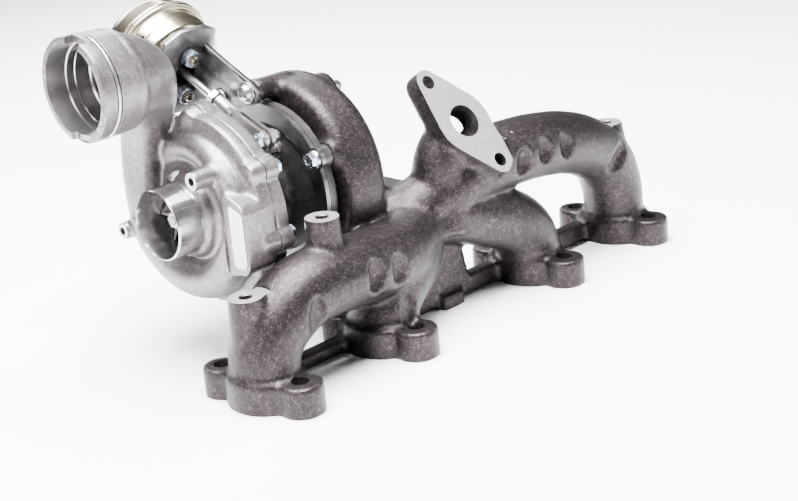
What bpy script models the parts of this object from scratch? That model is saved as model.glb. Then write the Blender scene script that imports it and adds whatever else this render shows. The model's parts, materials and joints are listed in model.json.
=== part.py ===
"""Variable-geometry diesel turbocharger, cast in one with its four-port exhaust manifold.

The frame: X runs along the row of exhaust ports, +Y points to the turbocharger's side, and +Z
points away from the cylinder head. The four port flanges stand on z = 0, and the origin lies on
the head face, midway between ports 2 and 3. Lengths are in millimetres and become metres when a
mesh is made. Angles are in degrees and turn about +X, with 0 at +Y and 90 at +Z.
"""
import math

import bmesh
import bpy
from mathutils import Matrix, Vector

MM = 0.001

# driving dimensions
BORE_SPACING = 88.0
PORT_X = [BORE_SPACING * k for k in (-1.75, -0.75, 0.75, 1.75)]
PORT_Y = -7.0
FLANGE_THICKNESS = 17.0
RUNNER_WALL = 5.5
STUD_HOLE = 5.0
STUD_OFFSETS = ((1.7, -27.0, 12.5), (-8.0, 27.0, 11.0))

SHAFT_Y = 60.0
SHAFT_Z = 90.0
INLET_X = -164.0
BACKPLATE_X = (-124.0, -115.0)
HOUSING_X = (-71.0, -40.0)
OUTLET_FLANGE_X = -30.0
CLEARANCE = 0.35

LEVER_LENGTH = 14.0
LEVER_STROKE = 32.0
ROD_X = -98.0
ROD_TILT = 24.8
PIN_Y = 40.0
PIN_Z = 125.4
RING_RADIUS = 38.0
VANE_PIVOT_RADIUS = 29.5
VANE_COUNT = 9

CONNECTOR_RADIUS = 28.4
CONNECTOR_X = (-203.0, -174.0)
CONNECTOR_Y = 60.0
CONNECTOR_Z = 175.6


# ---------------------------------------------------------------- small tools

def clear_scene():
    for item in list(bpy.data.objects):
        bpy.data.objects.remove(item, do_unlink=True)


def material(name, colour, roughness, metallic):
    made = bpy.data.materials.new(name)
    made.use_nodes = True
    shader = made.node_tree.nodes["Principled BSDF"]
    shader.inputs["Base Color"].default_value = (*colour, 1.0)
    shader.inputs["Roughness"].default_value = roughness
    shader.inputs["Metallic"].default_value = metallic
    return made


def empty(name, place, tilt=0.0, parent=None):
    """An axis marker: its X axis is the axis that its children turn about."""
    marker = bpy.data.objects.new(name, None)
    marker.empty_display_size = 0.01
    marker.parent = parent
    marker.location = Vector(place) * MM
    marker.rotation_euler = (math.radians(tilt), 0.0, 0.0)
    bpy.context.collection.objects.link(marker)
    return marker


def solid(name, verts, faces, finish=None, parent=None, place=(0, 0, 0), turn=(0, 0, 0)):
    mesh = bpy.data.meshes.new(name)
    mesh.from_pydata([Vector(v) * MM for v in verts], [], faces)
    shell = bmesh.new()
    shell.from_mesh(mesh)
    bmesh.ops.remove_doubles(shell, verts=shell.verts, dist=1e-7)
    bmesh.ops.recalc_face_normals(shell, faces=shell.faces)
    shell.to_mesh(mesh)
    shell.free()
    if finish:
        mesh.materials.append(finish)
    piece = bpy.data.objects.new(name, mesh)
    bpy.context.collection.objects.link(piece)
    piece.parent = parent
    piece.location = Vector(place) * MM
    piece.rotation_euler = [math.radians(a) for a in turn]
    mesh.shade_smooth()
    mesh.set_sharp_from_angle(angle=math.radians(35))
    return piece


def ring_faces(rings, count, closed):
    """Quads and triangles between successive rings; a ring is a start index or a single pole."""
    faces = []
    pairs = list(zip(rings, rings[1:]))
    if closed:
        pairs.append((rings[-1], rings[0]))
    for (a, many_a), (b, many_b) in pairs:
        for i in range(count):
            j = (i + 1) % count
            if many_a and many_b:
                faces.append((a + i, a + j, b + j, b + i))
            elif many_b:
                faces.append((a, b + j, b + i))
            elif many_a:
                faces.append((a + i, a + j, b))
    return faces


def turned(name, profile, count=32, finish=None, parent=None, place=(0, 0, 0), turn=(0, 0, 0),
           closed=None, swell=None):
    """A body turned about X from (x, radius) points: solid if it starts on the axis, else a ring."""
    if closed is None:
        closed = profile[0][1] > 0
    verts, rings = [], []
    for x, radius in profile:
        if radius <= 0:
            rings.append((len(verts), False))
            verts.append((x, 0, 0))
            continue
        rings.append((len(verts), True))
        for i in range(count):
            angle = 2 * math.pi * i / count
            r = radius * (swell(angle) if swell else 1.0)
            verts.append((x, r * math.cos(angle), r * math.sin(angle)))
    return solid(name, verts, ring_faces(rings, count, closed), finish, parent, place, turn)


def rod(name, x0, x1, radius, count=24, **where):
    return turned(name, [(x0, 0), (x0, radius), (x1, radius), (x1, 0)], count, **where)


def tube(name, x0, x1, outer, inner, count=32, **where):
    return turned(name, [(x0, inner), (x0, outer), (x1, outer), (x1, inner)], count, **where)


def prism(name, outline, x0, x1, finish=None, parent=None, place=(0, 0, 0), turn=(0, 0, 0)):
    """A plate with its (y, z) outline extruded along X."""
    count = len(outline)
    verts = [(x, y, z) for x in (x0, x1) for y, z in outline]
    faces = [tuple(range(count)), tuple(range(2 * count - 1, count - 1, -1))]
    faces += [(i, (i + 1) % count, count + (i + 1) % count, count + i) for i in range(count)]
    return solid(name, verts, faces, finish, parent, place, turn)


def arc(cx, cy, radius, start, stop, steps):
    """Points on an arc, degrees from the first axis."""
    turns = [math.radians(start + (stop - start) * k / steps) for k in range(steps + 1)]
    return [(cx + radius * math.cos(t), cy + radius * math.sin(t)) for t in turns]


def smooth_path(points, pieces):
    """A curve through the points, with its tangent at each from its two neighbours."""
    knots = [Vector(p) for p in points]
    ends = [2 * knots[0] - knots[1]] + knots + [2 * knots[-1] - knots[-2]]
    path = []
    for k in range(len(knots) - 1):
        a, b, c, d = ends[k:k + 4]
        for s in range(pieces):
            t = s / pieces
            path.append(0.5 * (2 * b + (c - a) * t + (2 * a - 5 * b + 4 * c - d) * t * t
                               + (3 * b - a - 3 * c + d) * t ** 3))
    path.append(knots[-1])
    return path


def swept(name, path, widths, heights, count=16, side=(0, 1, 0), finish=None):
    """A closed tube along a path; width lies along `side`, height across it."""
    side = Vector(side)
    verts = []
    last = len(path) - 1
    for k, point in enumerate(path):
        ahead = (path[min(k + 1, last)] - path[max(k - 1, 0)]).normalized()
        across = (side - ahead * side.dot(ahead)).normalized()
        up = ahead.cross(across)
        share = k / last * (len(widths) - 1)
        i = min(int(share), len(widths) - 2)
        width = widths[i] + (widths[i + 1] - widths[i]) * (share - i)
        height = heights[i] + (heights[i + 1] - heights[i]) * (share - i)
        for j in range(count):
            a = 2 * math.pi * j / count
            verts.append(point + across * width * math.cos(a) + up * height * math.sin(a))
    faces = ring_faces([(k * count, True) for k in range(last + 1)], count, False)
    faces += [tuple(range(count)), tuple(range(last * count, (last + 1) * count))]
    return solid(name, verts, faces, finish)


def closed_volume(mesh):
    """The volume inside a mesh, or zero where the mesh has an open or a doubled edge."""
    shell = bmesh.new()
    shell.from_mesh(mesh)
    volume = shell.calc_volume() if all(e.is_manifold for e in shell.edges) else 0.0
    shell.free()
    return volume


def combine(target, tools, operation):
    """Joins the tools to the target or cuts them from it, and removes the tools.

    The exact solver does it, and the manifold solver where the exact one leaves an open edge or
    loses part of the body.
    """
    bpy.context.view_layer.update()
    for tool in tools:
        least = closed_volume(target.data)
        if operation == "DIFFERENCE":
            least -= closed_volume(tool.data)
        for solver in ("EXACT", "MANIFOLD"):
            change = target.modifiers.new("combine", "BOOLEAN")
            change.operation = operation
            change.solver = solver
            change.object = tool
            graph = bpy.context.evaluated_depsgraph_get()
            mesh = bpy.data.meshes.new_from_object(target.evaluated_get(graph))
            target.modifiers.remove(change)
            if closed_volume(mesh) > 0.999 * least:
                break
        target.data = mesh
        bpy.data.objects.remove(tool, do_unlink=True)
    tidy = bmesh.new()
    tidy.from_mesh(target.data)
    bmesh.ops.remove_doubles(tidy, verts=tidy.verts, dist=1e-6)
    bmesh.ops.dissolve_degenerate(tidy, edges=tidy.edges, dist=1e-6)
    tidy.to_mesh(target.data)
    tidy.free()
    target.data.shade_smooth()
    target.data.set_sharp_from_angle(angle=math.radians(35))
    return target


def join(target, *tools):
    return combine(target, tools, "UNION")


def cut(target, *tools):
    return combine(target, tools, "DIFFERENCE")


def polar(radius, degrees):
    a = math.radians(degrees)
    return radius * math.cos(a), radius * math.sin(a)


# ---------------------------------------------------------------- finishes

def finishes():
    return {
        "cast_iron": material("cast_iron", (0.20, 0.185, 0.18), 0.62, 0.75),
        "dark_iron": material("dark_iron", (0.045, 0.042, 0.042), 0.55, 0.8),
        "aluminium": material("aluminium", (0.62, 0.60, 0.62), 0.42, 0.9),
        "steel": material("steel", (0.48, 0.47, 0.46), 0.30, 1.0),
        "zinc_blue": material("zinc_blue", (0.52, 0.57, 0.66), 0.24, 1.0),
        "zinc_yellow": material("zinc_yellow", (0.72, 0.68, 0.56), 0.25, 1.0),
        "nickel_alloy": material("nickel_alloy", (0.36, 0.33, 0.31), 0.40, 1.0),
        "bronze": material("bronze", (0.55, 0.38, 0.18), 0.35, 1.0),
        "rubber": material("rubber", (0.03, 0.03, 0.03), 0.8, 0.0),
        "label": material("label", (0.86, 0.86, 0.84), 0.4, 0.2),
    }


# ---------------------------------------------------------------- manifold and turbine housing

def flange_outline(steps=28):
    """The lobed port flange: a round pad with a stud ear at each end, as seen from its centre."""
    outline = []
    for k in range(steps):
        angle = 2 * math.pi * k / steps
        ray = Vector((math.cos(angle), math.sin(angle)))
        reach = 1.0 / math.hypot(ray.x / 21.5, ray.y / 24.0)
        for dx, dy, ear in STUD_OFFSETS:
            along = ray.x * dx + ray.y * dy
            off = abs(ray.x * dy - ray.y * dx)
            if along > 0 and off < ear:
                reach = max(reach, along + math.sqrt(ear * ear - off * off))
        outline.append(ray * reach)
    return outline


def port_flange(x):
    outline = flange_outline()
    count = len(outline)
    verts = [(x + p.x, PORT_Y + p.y, z) for z in (0.0, FLANGE_THICKNESS) for p in outline]
    faces = [tuple(range(count)), tuple(range(count, 2 * count))]
    faces += ring_faces([(0, True), (count, True)], count, False)
    return solid("port_flange", verts, faces)


def upright(name, x, y, z0, z1, low, high, count=16):
    """A post that stands along Z, `low` its radius at z0 and `high` at z1."""
    verts = []
    for z, radius in ((z0, low), (z1, high)):
        verts += [(x + a, y + b, z) for a, b in arc(0, 0, radius, 0, 360 - 360 / count, count - 1)]
    faces = [tuple(range(count)), tuple(range(count, 2 * count))]
    faces += ring_faces([(0, True), (count, True)], count, False)
    return solid(name, verts, faces)


def block(name, x0, x1, y0, y1, z0, z1):
    return prism(name, [(y0, z0), (y1, z0), (y1, z1), (y0, z1)], x0, x1)


RUNNERS = {
    1: ([(-154, -7, 0), (-154, -7, 18), (-150, -7, 33), (-139, -8, 45), (-122, -9, 53),
         (-98, -10, 54), (-72, -9, 52), (-48, -6, 51), (-30, 2, 54), (-18, 10, 60)],
        (21.5, 21, 20.5, 21, 21, 20), (18.5, 19.5, 20.5, 21, 20.5, 19)),
    2: ([(-66, -7, 0), (-65, -7, 15), (-57, -7, 29), (-44, -5, 39), (-31, 0, 48), (-22, 8, 58)],
        (21.5, 21, 20, 19), (18.5, 19, 19.5, 19)),
    3: ([(66, -7, 0), (66, -7, 16), (60, -7, 31), (46, -6, 43), (28, -3, 51), (10, 0, 57),
         (-6, 3, 60)],
        (21.5, 21, 20, 18.5), (18.5, 20, 20, 18)),
    4: ([(154, -7, 0), (154, -7, 20), (151, -7, 40), (141, -8, 57), (124, -9, 69), (102, -10, 78),
         (78, -10, 83), (54, -9, 85), (32, -6, 84), (12, -1, 78), (-4, 3, 70)],
        (21.5, 20.5, 20, 20.5, 19), (18.5, 19.5, 20, 20.5, 18.5)),
}
EGR_CENTRE = Vector((11.5, -11, 115))
EGR_NORMAL = Vector((0.0, -0.83, 0.557)).normalized()
EGR_LONG = Vector((-0.36, 0.52, 0.775))
EGR_THICKNESS = 13.0
EGR_BOLT_REACH = 31.0
EGR_RADIUS = 20.5
EGR_EAR = 8.5


def runner(number, shrink=0.0, rise=5.0):
    """A runner's outside, or with `shrink` its gas passage, which starts below the flange."""
    points, widths, heights = RUNNERS[number]
    path = smooth_path(points, 1)
    path[0] = path[0] + Vector((0, 0, rise))
    widths = [w - shrink for w in widths]
    heights = [h - shrink for h in heights]
    return swept("runner", path, widths, heights, count=9 if shrink else 13)


def egr_frame():
    long_axis = (EGR_LONG - EGR_NORMAL * EGR_LONG.dot(EGR_NORMAL)).normalized()
    short_axis = EGR_NORMAL.cross(long_axis)
    return long_axis, short_axis


def egr_flange():
    """The two-bolt diamond flange: a round middle and two ears, joined by tangents."""
    long_axis, short_axis = egr_frame()
    lean = math.degrees(math.acos((EGR_RADIUS - EGR_EAR) / EGR_BOLT_REACH))
    outline = arc(0, 0, EGR_RADIUS, lean, 180 - lean, 5)
    outline += arc(-EGR_BOLT_REACH, 0, EGR_EAR, 180 - lean, 180 + lean, 6)
    outline += arc(0, 0, EGR_RADIUS, 180 + lean, 360 - lean, 5)
    outline += arc(EGR_BOLT_REACH, 0, EGR_EAR, -lean, lean, 6)
    count = len(outline)
    verts = []
    for depth in (0.0, EGR_THICKNESS):
        verts += [EGR_CENTRE - EGR_NORMAL * depth + long_axis * a + short_axis * b for a, b in outline]
    faces = [tuple(range(count)), tuple(range(count, 2 * count))]
    faces += ring_faces([(0, True), (count, True)], count, False)
    return solid("egr_flange", verts, faces)


def straight(name, start, end, radius, count=20):
    path = [Vector(start), Vector(end)]
    side = (1, 0, 0) if abs((path[1] - path[0]).normalized().x) < 0.9 else (0, 1, 0)
    return swept(name, path, (radius, radius), (radius, radius), count, side)


# each post is (x, y, bottom z, top z, bottom radius, top radius)
SCREW_POSTS = ((-160, -6, 8, 61.5, 11.5, 9.8), (-104, -9, 62, 90, 10.6, 9.8),
               (150, -7, 50, 79, 15, 9.5))
OUTLET_STUD_RADIUS = 46.0
OUTLET_STUD_ANGLES = (90, 210, 330)
FLANGE_NECK = [(-4, 2, 52), (-2, 1, 66), (-1, 1, 80), (0, 0, 92), (4, -2, 102), (9, -6, 109)]
DUCT_PATH = [(-10, 0, 60), (-26, 16, 60), (-38, 34, 59), (-47, 50, 59)]


def exhaust_manifold(finish):
    body = port_flange(PORT_X[0])
    body.name = "exhaust_manifold"
    pieces = [port_flange(x) for x in PORT_X[1:]]
    pieces += [runner(n) for n in (1, 2, 3, 4)]
    # straps and web that tie the flanges together
    pieces.append(prism("strap", [(1, 0.5), (12, 0.5), (12, 9), (1, 9)], -136, -84))
    pieces.append(prism("strap", [(1, 0.5), (12, 0.5), (12, 13), (1, 13)], 16, 140))
    web = [(-50, 0.5), (17.5, 0.5), (20, 13.5), (14, 40), (2, 50), (-40, 50)]
    verts = [(x, y, z) for y in (1.5, 9.5) for x, z in web]
    count = len(web)
    faces = [tuple(range(count)), tuple(range(count, 2 * count))]
    faces += ring_faces([(0, True), (count, True)], count, False)
    pieces.append(solid("web", verts, faces))
    pieces.append(block("datum_pad", -9, 9, -4, 9, 0, 8))
    pieces += [upright("post", *post) for post in SCREW_POSTS]
    # gas-recirculation neck and flange
    sizes = (22, 17, 16, 16.5, 17)
    pieces.append(swept("neck", smooth_path(FLANGE_NECK, 2), sizes, sizes, 18))
    pieces.append(egr_flange())
    # the duct to the turbine, the housing and its outlet flange
    pieces.append(swept("duct", smooth_path(DUCT_PATH, 2), (20, 21, 22, 22), (20, 20, 20, 20), 16,
                        side=(0, 0, 1)))
    x0, x1 = HOUSING_X
    shaft = (0, SHAFT_Y, SHAFT_Z)
    grow = lambda a: 1.0 + 0.03 * math.cos(a - math.radians(60))
    pieces.append(turned("housing", [(x0, 0), (x0, 56.5), (x0 + 4, 59.5), (x1 - 8, 60.5),
                                     (x1, 52), (x1, 0)], 32, place=shaft, swell=grow))
    for angle in CLAMP_ANGLES:
        y, z = polar(CLAMP_BOLT_RADIUS, angle)
        pieces.append(rod("lug", x0 - 3.0, x0 + 12, 8.5, 12, place=(0, SHAFT_Y + y, SHAFT_Z + z)))
    pieces += bracket_lugs()
    outlet = []
    for angle in OUTLET_STUD_ANGLES:
        outlet += arc(*polar(OUTLET_STUD_RADIUS, angle), 11, angle - 60, angle + 60, 6)
    pieces.append(prism("outlet_flange", outlet, x1 - 6, OUTLET_FLANGE_X, place=shaft))
    join(body, *pieces)
    cut(body, *manifold_cutters())
    body.data.materials.clear()
    body.data.materials.append(finish)
    return body


CLAMP_BOLT_RADIUS = 48.5
CLAMP_ANGLES = (152, 225, 300, 15)


def manifold_cutters():
    x0, x1 = HOUSING_X
    shaft = (0, SHAFT_Y, SHAFT_Z)
    cutters = [runner(n, shrink=RUNNER_WALL, rise=-3.0) for n in (1, 2, 3, 4)]
    cutters.append(swept("duct", smooth_path(DUCT_PATH[:3] + [(-52, 52, 62)], 2),
                         (13, 15, 14, 9), (13, 14, 13, 6), 14, side=(0, 0, 1)))
    long_axis, short_axis = egr_frame()
    bore = [EGR_CENTRE + EGR_NORMAL * 3, EGR_CENTRE - EGR_NORMAL * EGR_THICKNESS * 0.8]
    inner = bore + [Vector(p) for p in reversed(FLANGE_NECK[:4])]
    cutters.append(swept("bore", smooth_path(inner, 2), (10.2, 10.2), (10.2, 10.2), 16, side=(1, 0, 0)))
    for reach, depth in ((EGR_BOLT_REACH, 24), (-EGR_BOLT_REACH, 11)):
        spot = EGR_CENTRE + long_axis * reach
        cutters.append(straight("egr_hole", spot + EGR_NORMAL * 3, spot - EGR_NORMAL * depth, 4.3, 10))
    for x in PORT_X:
        for dx, dy, _ in STUD_OFFSETS:
            cutters.append(upright("stud_hole", x + dx, PORT_Y + dy, -3, FLANGE_THICKNESS + 40,
                                   STUD_HOLE, STUD_HOLE, 8))
    for x, y, _, top, _, _ in SCREW_POSTS:
        cutters.append(upright("screw_hole", x, y, top - 16, top + 3, 3.4, 3.4, 10))
    cutters.append(turned("chamber", [(x0 - 8, 0), (x0 - 8, 43.5), (x0 + 9, 43.5), (x0 + 9, 50),
                                      (x0 + 20, 50), (x0 + 22, 46), (x0 + 22, 22.4), (x1 - 3, 21.8),
                                      (OUTLET_FLANGE_X + 3, 28), (OUTLET_FLANGE_X + 3, 0)], 28,
                          place=shaft))
    for angle in CLAMP_ANGLES:
        y, z = polar(CLAMP_BOLT_RADIUS, angle)
        cutters.append(rod("bolt_hole", x0 - 8, x0 + 7, 3.4, 10, place=(0, SHAFT_Y + y, SHAFT_Z + z)))
    for y, z in BRACKET_LUGS:
        cutters.append(rod("lug_hole", -90, -73, 3.3, 10, place=(0, SHAFT_Y + y, SHAFT_Z + z)))
    for angle in OUTLET_STUD_ANGLES:
        y, z = polar(OUTLET_STUD_RADIUS, angle)
        cutters.append(rod("stud_hole", x1 + 1, OUTLET_FLANGE_X + 4, 4.4, 10,
                           place=(0, SHAFT_Y + y, SHAFT_Z + z)))
    return cutters


# ---------------------------------------------------------------- centre section

SHAFT = (0, SHAFT_Y, SHAFT_Z)
LEVER_REST = 90.0 + ROD_TILT + 0.5 * LEVER_STROKE
PIVOT_Y = PIN_Y - LEVER_LENGTH * math.cos(math.radians(LEVER_REST))
PIVOT_Z = PIN_Z - LEVER_LENGTH * math.sin(math.radians(LEVER_REST))
PIVOT_ANGLE = math.degrees(math.atan2(PIVOT_Z - SHAFT_Z, PIVOT_Y - SHAFT_Y))
PIVOT_RADIUS = math.hypot(PIVOT_Z - SHAFT_Z, PIVOT_Y - SHAFT_Y)
RING_PER_LEVER = (RING_RADIUS - PIVOT_RADIUS) / RING_RADIUS
VANE_PER_RING = RING_RADIUS / (RING_RADIUS - VANE_PIVOT_RADIUS)
VANE_ANGLES = [PIVOT_ANGLE + 20.0 + 360.0 * k / VANE_COUNT for k in range(VANE_COUNT)]
RING_X = (-71.5, -69.0)
NOZZLE_X = (-65.6, -62.3)
SPACER_X = (-78.9, -74.4)
CLAMP_X = (-82.2, -79.3)
LOBE_ANGLES = (85, 148, 192, 252, 308, 22)
COMPRESSOR_BOLT_ANGLES = (85, 148, 192, 252, 308)
COMPRESSOR_BOLT_RADIUS = 50.5
BRACKET_LUGS = ((2, 57.5), (28, 50.5))
BRACKET_X = (-88.2, -85.2)


def hex_outline(across):
    return arc(0, 0, across / math.sqrt(3), 0, 300, 5)


def bolt(name, seat, tip, across, shank, finish, place=(0, 0, 0)):
    """A flanged hex bolt along X: its flange sits at x = seat and its thread ends at x = tip."""
    way = 1 if tip > seat else -1
    flange = across * 0.66
    # each ring is (x, radius, hex): hex rings take the radius across their corners
    rings = [(seat - way * across * 0.62, across * 0.5, True),
             (seat - way * across * 0.55, across * 0.577, True),
             (seat - way * 1.2, across * 0.577, True), (seat - way * 1.2, flange, False),
             (seat, flange, False), (seat, shank, False), (tip, shank, False)]
    verts = []
    for x, radius, six in rings:
        for k in range(12):
            r = radius * (math.cos(math.pi / 6) if six and k % 2 else 1.0)
            verts.append((x, r * math.cos(k * math.pi / 6), r * math.sin(k * math.pi / 6)))
    last = 12 * (len(rings) - 1)
    faces = ring_faces([(12 * k, True) for k in range(len(rings))], 12, False)
    faces += [tuple(range(12)), tuple(range(last, last + 12))]
    return solid(name, verts, faces, finish, place=place)


def nut(name, x0, x1, across, bore, finish, parent=None, place=(0, 0, 0), turn=(0, 0, 0)):
    """A hex nut along X with its open thread bore."""
    outer = hex_outline(across)
    inner = arc(0, 0, bore, 0, 300, 5)
    verts = [(x, y, z) for x, line in ((x0, outer), (x1, outer), (x1, inner), (x0, inner))
             for y, z in line]
    faces = ring_faces([(6 * k, True) for k in range(4)], 6, True)
    return solid(name, verts, faces, finish, parent, place, turn)


def centre_housing(looks):
    outer = [(-114.6, 0), (-114.6, 36), (-110.5, 36), (-108.5, 23), (-90, 20), (-84.5, 21),
             (-79.0, 38.0), (-79.0, 42.7), (-66.0, 42.7), (-66.0, 0)]
    body = turned("centre_housing", outer, 28, looks["dark_iron"], place=SHAFT)
    inlet = upright("oil_inlet", -98, SHAFT_Y + 8, SHAFT_Z + 10, SHAFT_Z + 29, 9, 8.5, 12)
    drain = upright("oil_drain", -96, SHAFT_Y, SHAFT_Z - 38, SHAFT_Z - 12, 10.5, 10.5, 14)
    drain_flange = upright("drain_flange", -96, SHAFT_Y, SHAFT_Z - 38, SHAFT_Z - 32, 13.4, 13.4, 14)
    join(body, inlet, drain, drain_flange)
    bore = turned("bore", [(-120, 0), (-120, 17), (-111.5, 17), (-111.5, 8.2), (-75, 8.2), (-75, 6.0),
                           (-72.6, 6.0), (-72.6, 9.2), (-60, 9.2), (-60, 0)], 18, place=SHAFT)
    recess = tube("recess", -73, -60, 41.4, 24.0, 28, place=SHAFT)
    oil_hole = upright("oil_hole", -98, SHAFT_Y + 8, SHAFT_Z + 2, SHAFT_Z + 34, 3, 3, 10)
    drain_hole = upright("drain_hole", -96.2, SHAFT_Y + 0.3, SHAFT_Z - 44, SHAFT_Z - 4.5, 6.4, 6.4, 10)
    crank_hole = rod("crank_hole", -86, -60, 4.4, 16, place=(0, PIVOT_Y, PIVOT_Z))
    cut(body, bore, recess, oil_hole, drain_hole, crank_hole)


def lobed_outline(radius, lobes, lobe_reach, lobe_radius, steps):
    """A circle with round lobes on its rim, as (y, z) points about the shaft."""
    outline = []
    for k in range(steps):
        angle = 2 * math.pi * k / steps
        reach = radius
        for lobe in lobes:
            off = angle - math.radians(lobe)
            span = lobe_reach * math.sin(off)
            if math.cos(off) > 0 and abs(span) < lobe_radius:
                reach = max(reach, lobe_reach * math.cos(off) + math.sqrt(lobe_radius ** 2 - span ** 2))
        outline.append((reach * math.cos(angle), reach * math.sin(angle)))
    return outline


def backplate(looks):
    x0, x1 = BACKPLATE_X
    body = prism("compressor_backplate", lobed_outline(55, LOBE_ANGLES, 51.5, 8.0, 54), x0, x1,
                 looks["aluminium"], place=SHAFT)
    bore = turned("bore", [(x0 - 2, 0), (x0 - 2, 10.4), (x1 - 2.2, 10.4), (x1 - 2.2, 37), (x1 + 2, 37),
                           (x1 + 2, 0)], 28, place=SHAFT)
    holes = []
    for angle in COMPRESSOR_BOLT_ANGLES:
        y, z = polar(COMPRESSOR_BOLT_RADIUS, angle)
        holes.append(rod("hole", x0 - 4, x1 + 4, 3.3, 8, place=(0, SHAFT_Y + y, SHAFT_Z + z)))
    cut(body, bore, *holes)


def clamp_parts(looks):
    clamp = prism("clamp_ring", lobed_outline(49.5, CLAMP_ANGLES, 48.5, 6.5, 48), *CLAMP_X,
                  finish=looks["steel"], place=SHAFT)
    spacer = prism("spacer_ring", lobed_outline(49.5, CLAMP_ANGLES, 48.5, 6.5, 48), *SPACER_X,
                   finish=looks["dark_iron"], place=SHAFT)
    for ring, bore in ((clamp, 39.0), (spacer, 43.4)):
        holes = [rod("bore", -90, -66, bore, 28, place=SHAFT)]
        for angle in CLAMP_ANGLES:
            y, z = polar(CLAMP_BOLT_RADIUS, angle)
            holes.append(rod("hole", -90, -66, 3.3, 8, place=(0, SHAFT_Y + y, SHAFT_Z + z)))
        cut(ring, *holes)
    for number, angle in enumerate(CLAMP_ANGLES, 1):
        y, z = polar(CLAMP_BOLT_RADIUS, angle)
        bolt(f"clamp_bolt_{number}", CLAMP_X[0] - CLEARANCE, HOUSING_X[0] + 5, 8.0, 2.7,
             looks["zinc_blue"], place=(0, SHAFT_Y + y, SHAFT_Z + z))
    for number, angle in enumerate(COMPRESSOR_BOLT_ANGLES, 1):
        y, z = polar(COMPRESSOR_BOLT_RADIUS, angle)
        bolt(f"compressor_bolt_{number}", BACKPLATE_X[1] + CLEARANCE, BACKPLATE_X[0] - 4.5, 8.0, 2.7,
             looks["zinc_blue"], place=(0, SHAFT_Y + y, SHAFT_Z + z))
    x1 = OUTLET_FLANGE_X
    for number, angle in enumerate(OUTLET_STUD_ANGLES, 1):
        y, z = polar(OUTLET_STUD_RADIUS, angle)
        turned(f"outlet_stud_{number}", [(x1 - 8, 0), (x1 - 8, 3.8), (x1 + 8, 3.8), (x1 + 9, 3.2),
                                         (x1 + 9, 0)], 10, looks["steel"],
               place=(0, SHAFT_Y + y, SHAFT_Z + z))


def bearings(looks):
    for number, x in enumerate((-106.0, -84.0), 1):
        tube(f"journal_bearing_{number}", x - 4.5, x + 4.5, 7.8, 4.3, 20, finish=looks["bronze"],
             parent=empty(f"journal_bearing_{number}_axis", (x, SHAFT_Y, SHAFT_Z)),
             place=(-x, 0, 0))
    tube("thrust_bearing", -115.2, -112.2, 16.2, 6.3, 20, finish=looks["bronze"], place=SHAFT)
    tube("heat_shield", -65.3, -64.3, 24.6, 10.0, 28, finish=looks["nickel_alloy"], place=SHAFT)
    tube("crank_bush", -84.0, -73.4, 4.1, 2.9, 16, finish=looks["steel"], place=(0, PIVOT_Y, PIVOT_Z))


# ---------------------------------------------------------------- rotor

def blade(name, stations, thickness, parent=None, spin=0.0):
    """A thin twisted blade from (x, inner radius, outer radius, angle) stations."""
    verts = []
    for x, inner, outer, angle in stations:
        for radius in (inner, outer):
            for side in (-0.5, 0.5):
                a = math.radians(angle + spin)
                y, z = radius * math.cos(a), radius * math.sin(a)
                verts.append((x, y - side * thickness * math.sin(a), z + side * thickness * math.cos(a)))
    faces = [(0, 1, 3, 2)]
    for k in range(len(stations) - 1):
        a, b = 4 * k, 4 * k + 4
        faces += [(a, a + 1, b + 1, b), (a + 2, a + 3, b + 3, b + 2),
                  (a, a + 2, b + 2, b), (a + 1, a + 3, b + 3, b + 1)]
    end = 4 * (len(stations) - 1)
    faces.append((end, end + 1, end + 3, end + 2))
    return solid(name, verts, faces, parent=parent)


def rotor(looks, axis):
    """Turbine wheel and shaft are one welded piece; the compressor wheel slides on the thin end."""
    wheel = turned("turbine_wheel", [(-153.5, 0), (-153.5, 2.4), (-127.2, 2.4), (-127.2, 3.9),
                                     (-74.6, 3.9), (-74.6, 5.4), (-71.9, 5.4), (-71.9, 8.4),
                                     (-63.4, 8.4), (-62.2, 19.0), (-60.6, 19.0), (-56, 10.5),
                                     (-50, 7), (-43, 5.6), (-40.5, 4.5), (-40.5, 0)],
                   16, looks["nickel_alloy"], parent=axis)
    vanes = [(-61.2, 6, 20.6, 0), (-55, 6, 21.0, 5), (-49, 4.5, 20.9, 18), (-43.5, 4, 20.4, 38)]
    blades = [blade("blade", vanes, 1.3, axis, 40 * k) for k in range(9)]
    join(wheel, *blades)
    wheel.data.materials.clear()
    wheel.data.materials.append(looks["nickel_alloy"])

    impeller = turned("compressor_wheel", [(-127.6, 2.75), (-127.6, 23.6), (-128.8, 24.0), (-132, 15),
                                           (-138, 9), (-145, 6.6), (-149.2, 5.6), (-149.2, 2.75)], 18,
                      looks["aluminium"], parent=axis)
    full = [(-148.2, 3.6, 16.9, 0), (-142, 4.5, 16.9, 28), (-136.5, 6, 18.4, 44), (-132, 9, 21.4, 55),
            (-128.4, 12, 24.2, 60)]
    blades = [blade("blade", full, 1.1, axis, 60 * k) for k in range(6)]
    join(impeller, *blades)
    impeller.data.materials.clear()
    impeller.data.materials.append(looks["aluminium"])
    nut("compressor_nut", -153.0, -149.6, 8.0, 3.0, looks["steel"], parent=axis)
    turned("thrust_collar", [(-127.2, 4.3), (-127.2, 9.8), (-116, 9.8), (-116, 4.3)], 20,
           looks["steel"], parent=axis)


# ---------------------------------------------------------------- variable nozzle

def arm_outline(pivot, reach, hub, tip, turn):
    """A flat arm in (y, z) about its pivot: a round hub, a narrow neck and a round tip."""
    side = hub * 0.4
    shape = arc(0, 0, hub, 40, 320, 6)
    shape += [(reach - tip - 0.8, -side), ]
    shape += arc(reach, 0, tip, 220, 500, 6)
    shape += [(reach - tip - 0.8, side)]
    a = math.radians(turn)
    return [(pivot[0] + x * math.cos(a) - y * math.sin(a), pivot[1] + x * math.sin(a) + y * math.cos(a))
            for x, y in shape]


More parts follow.
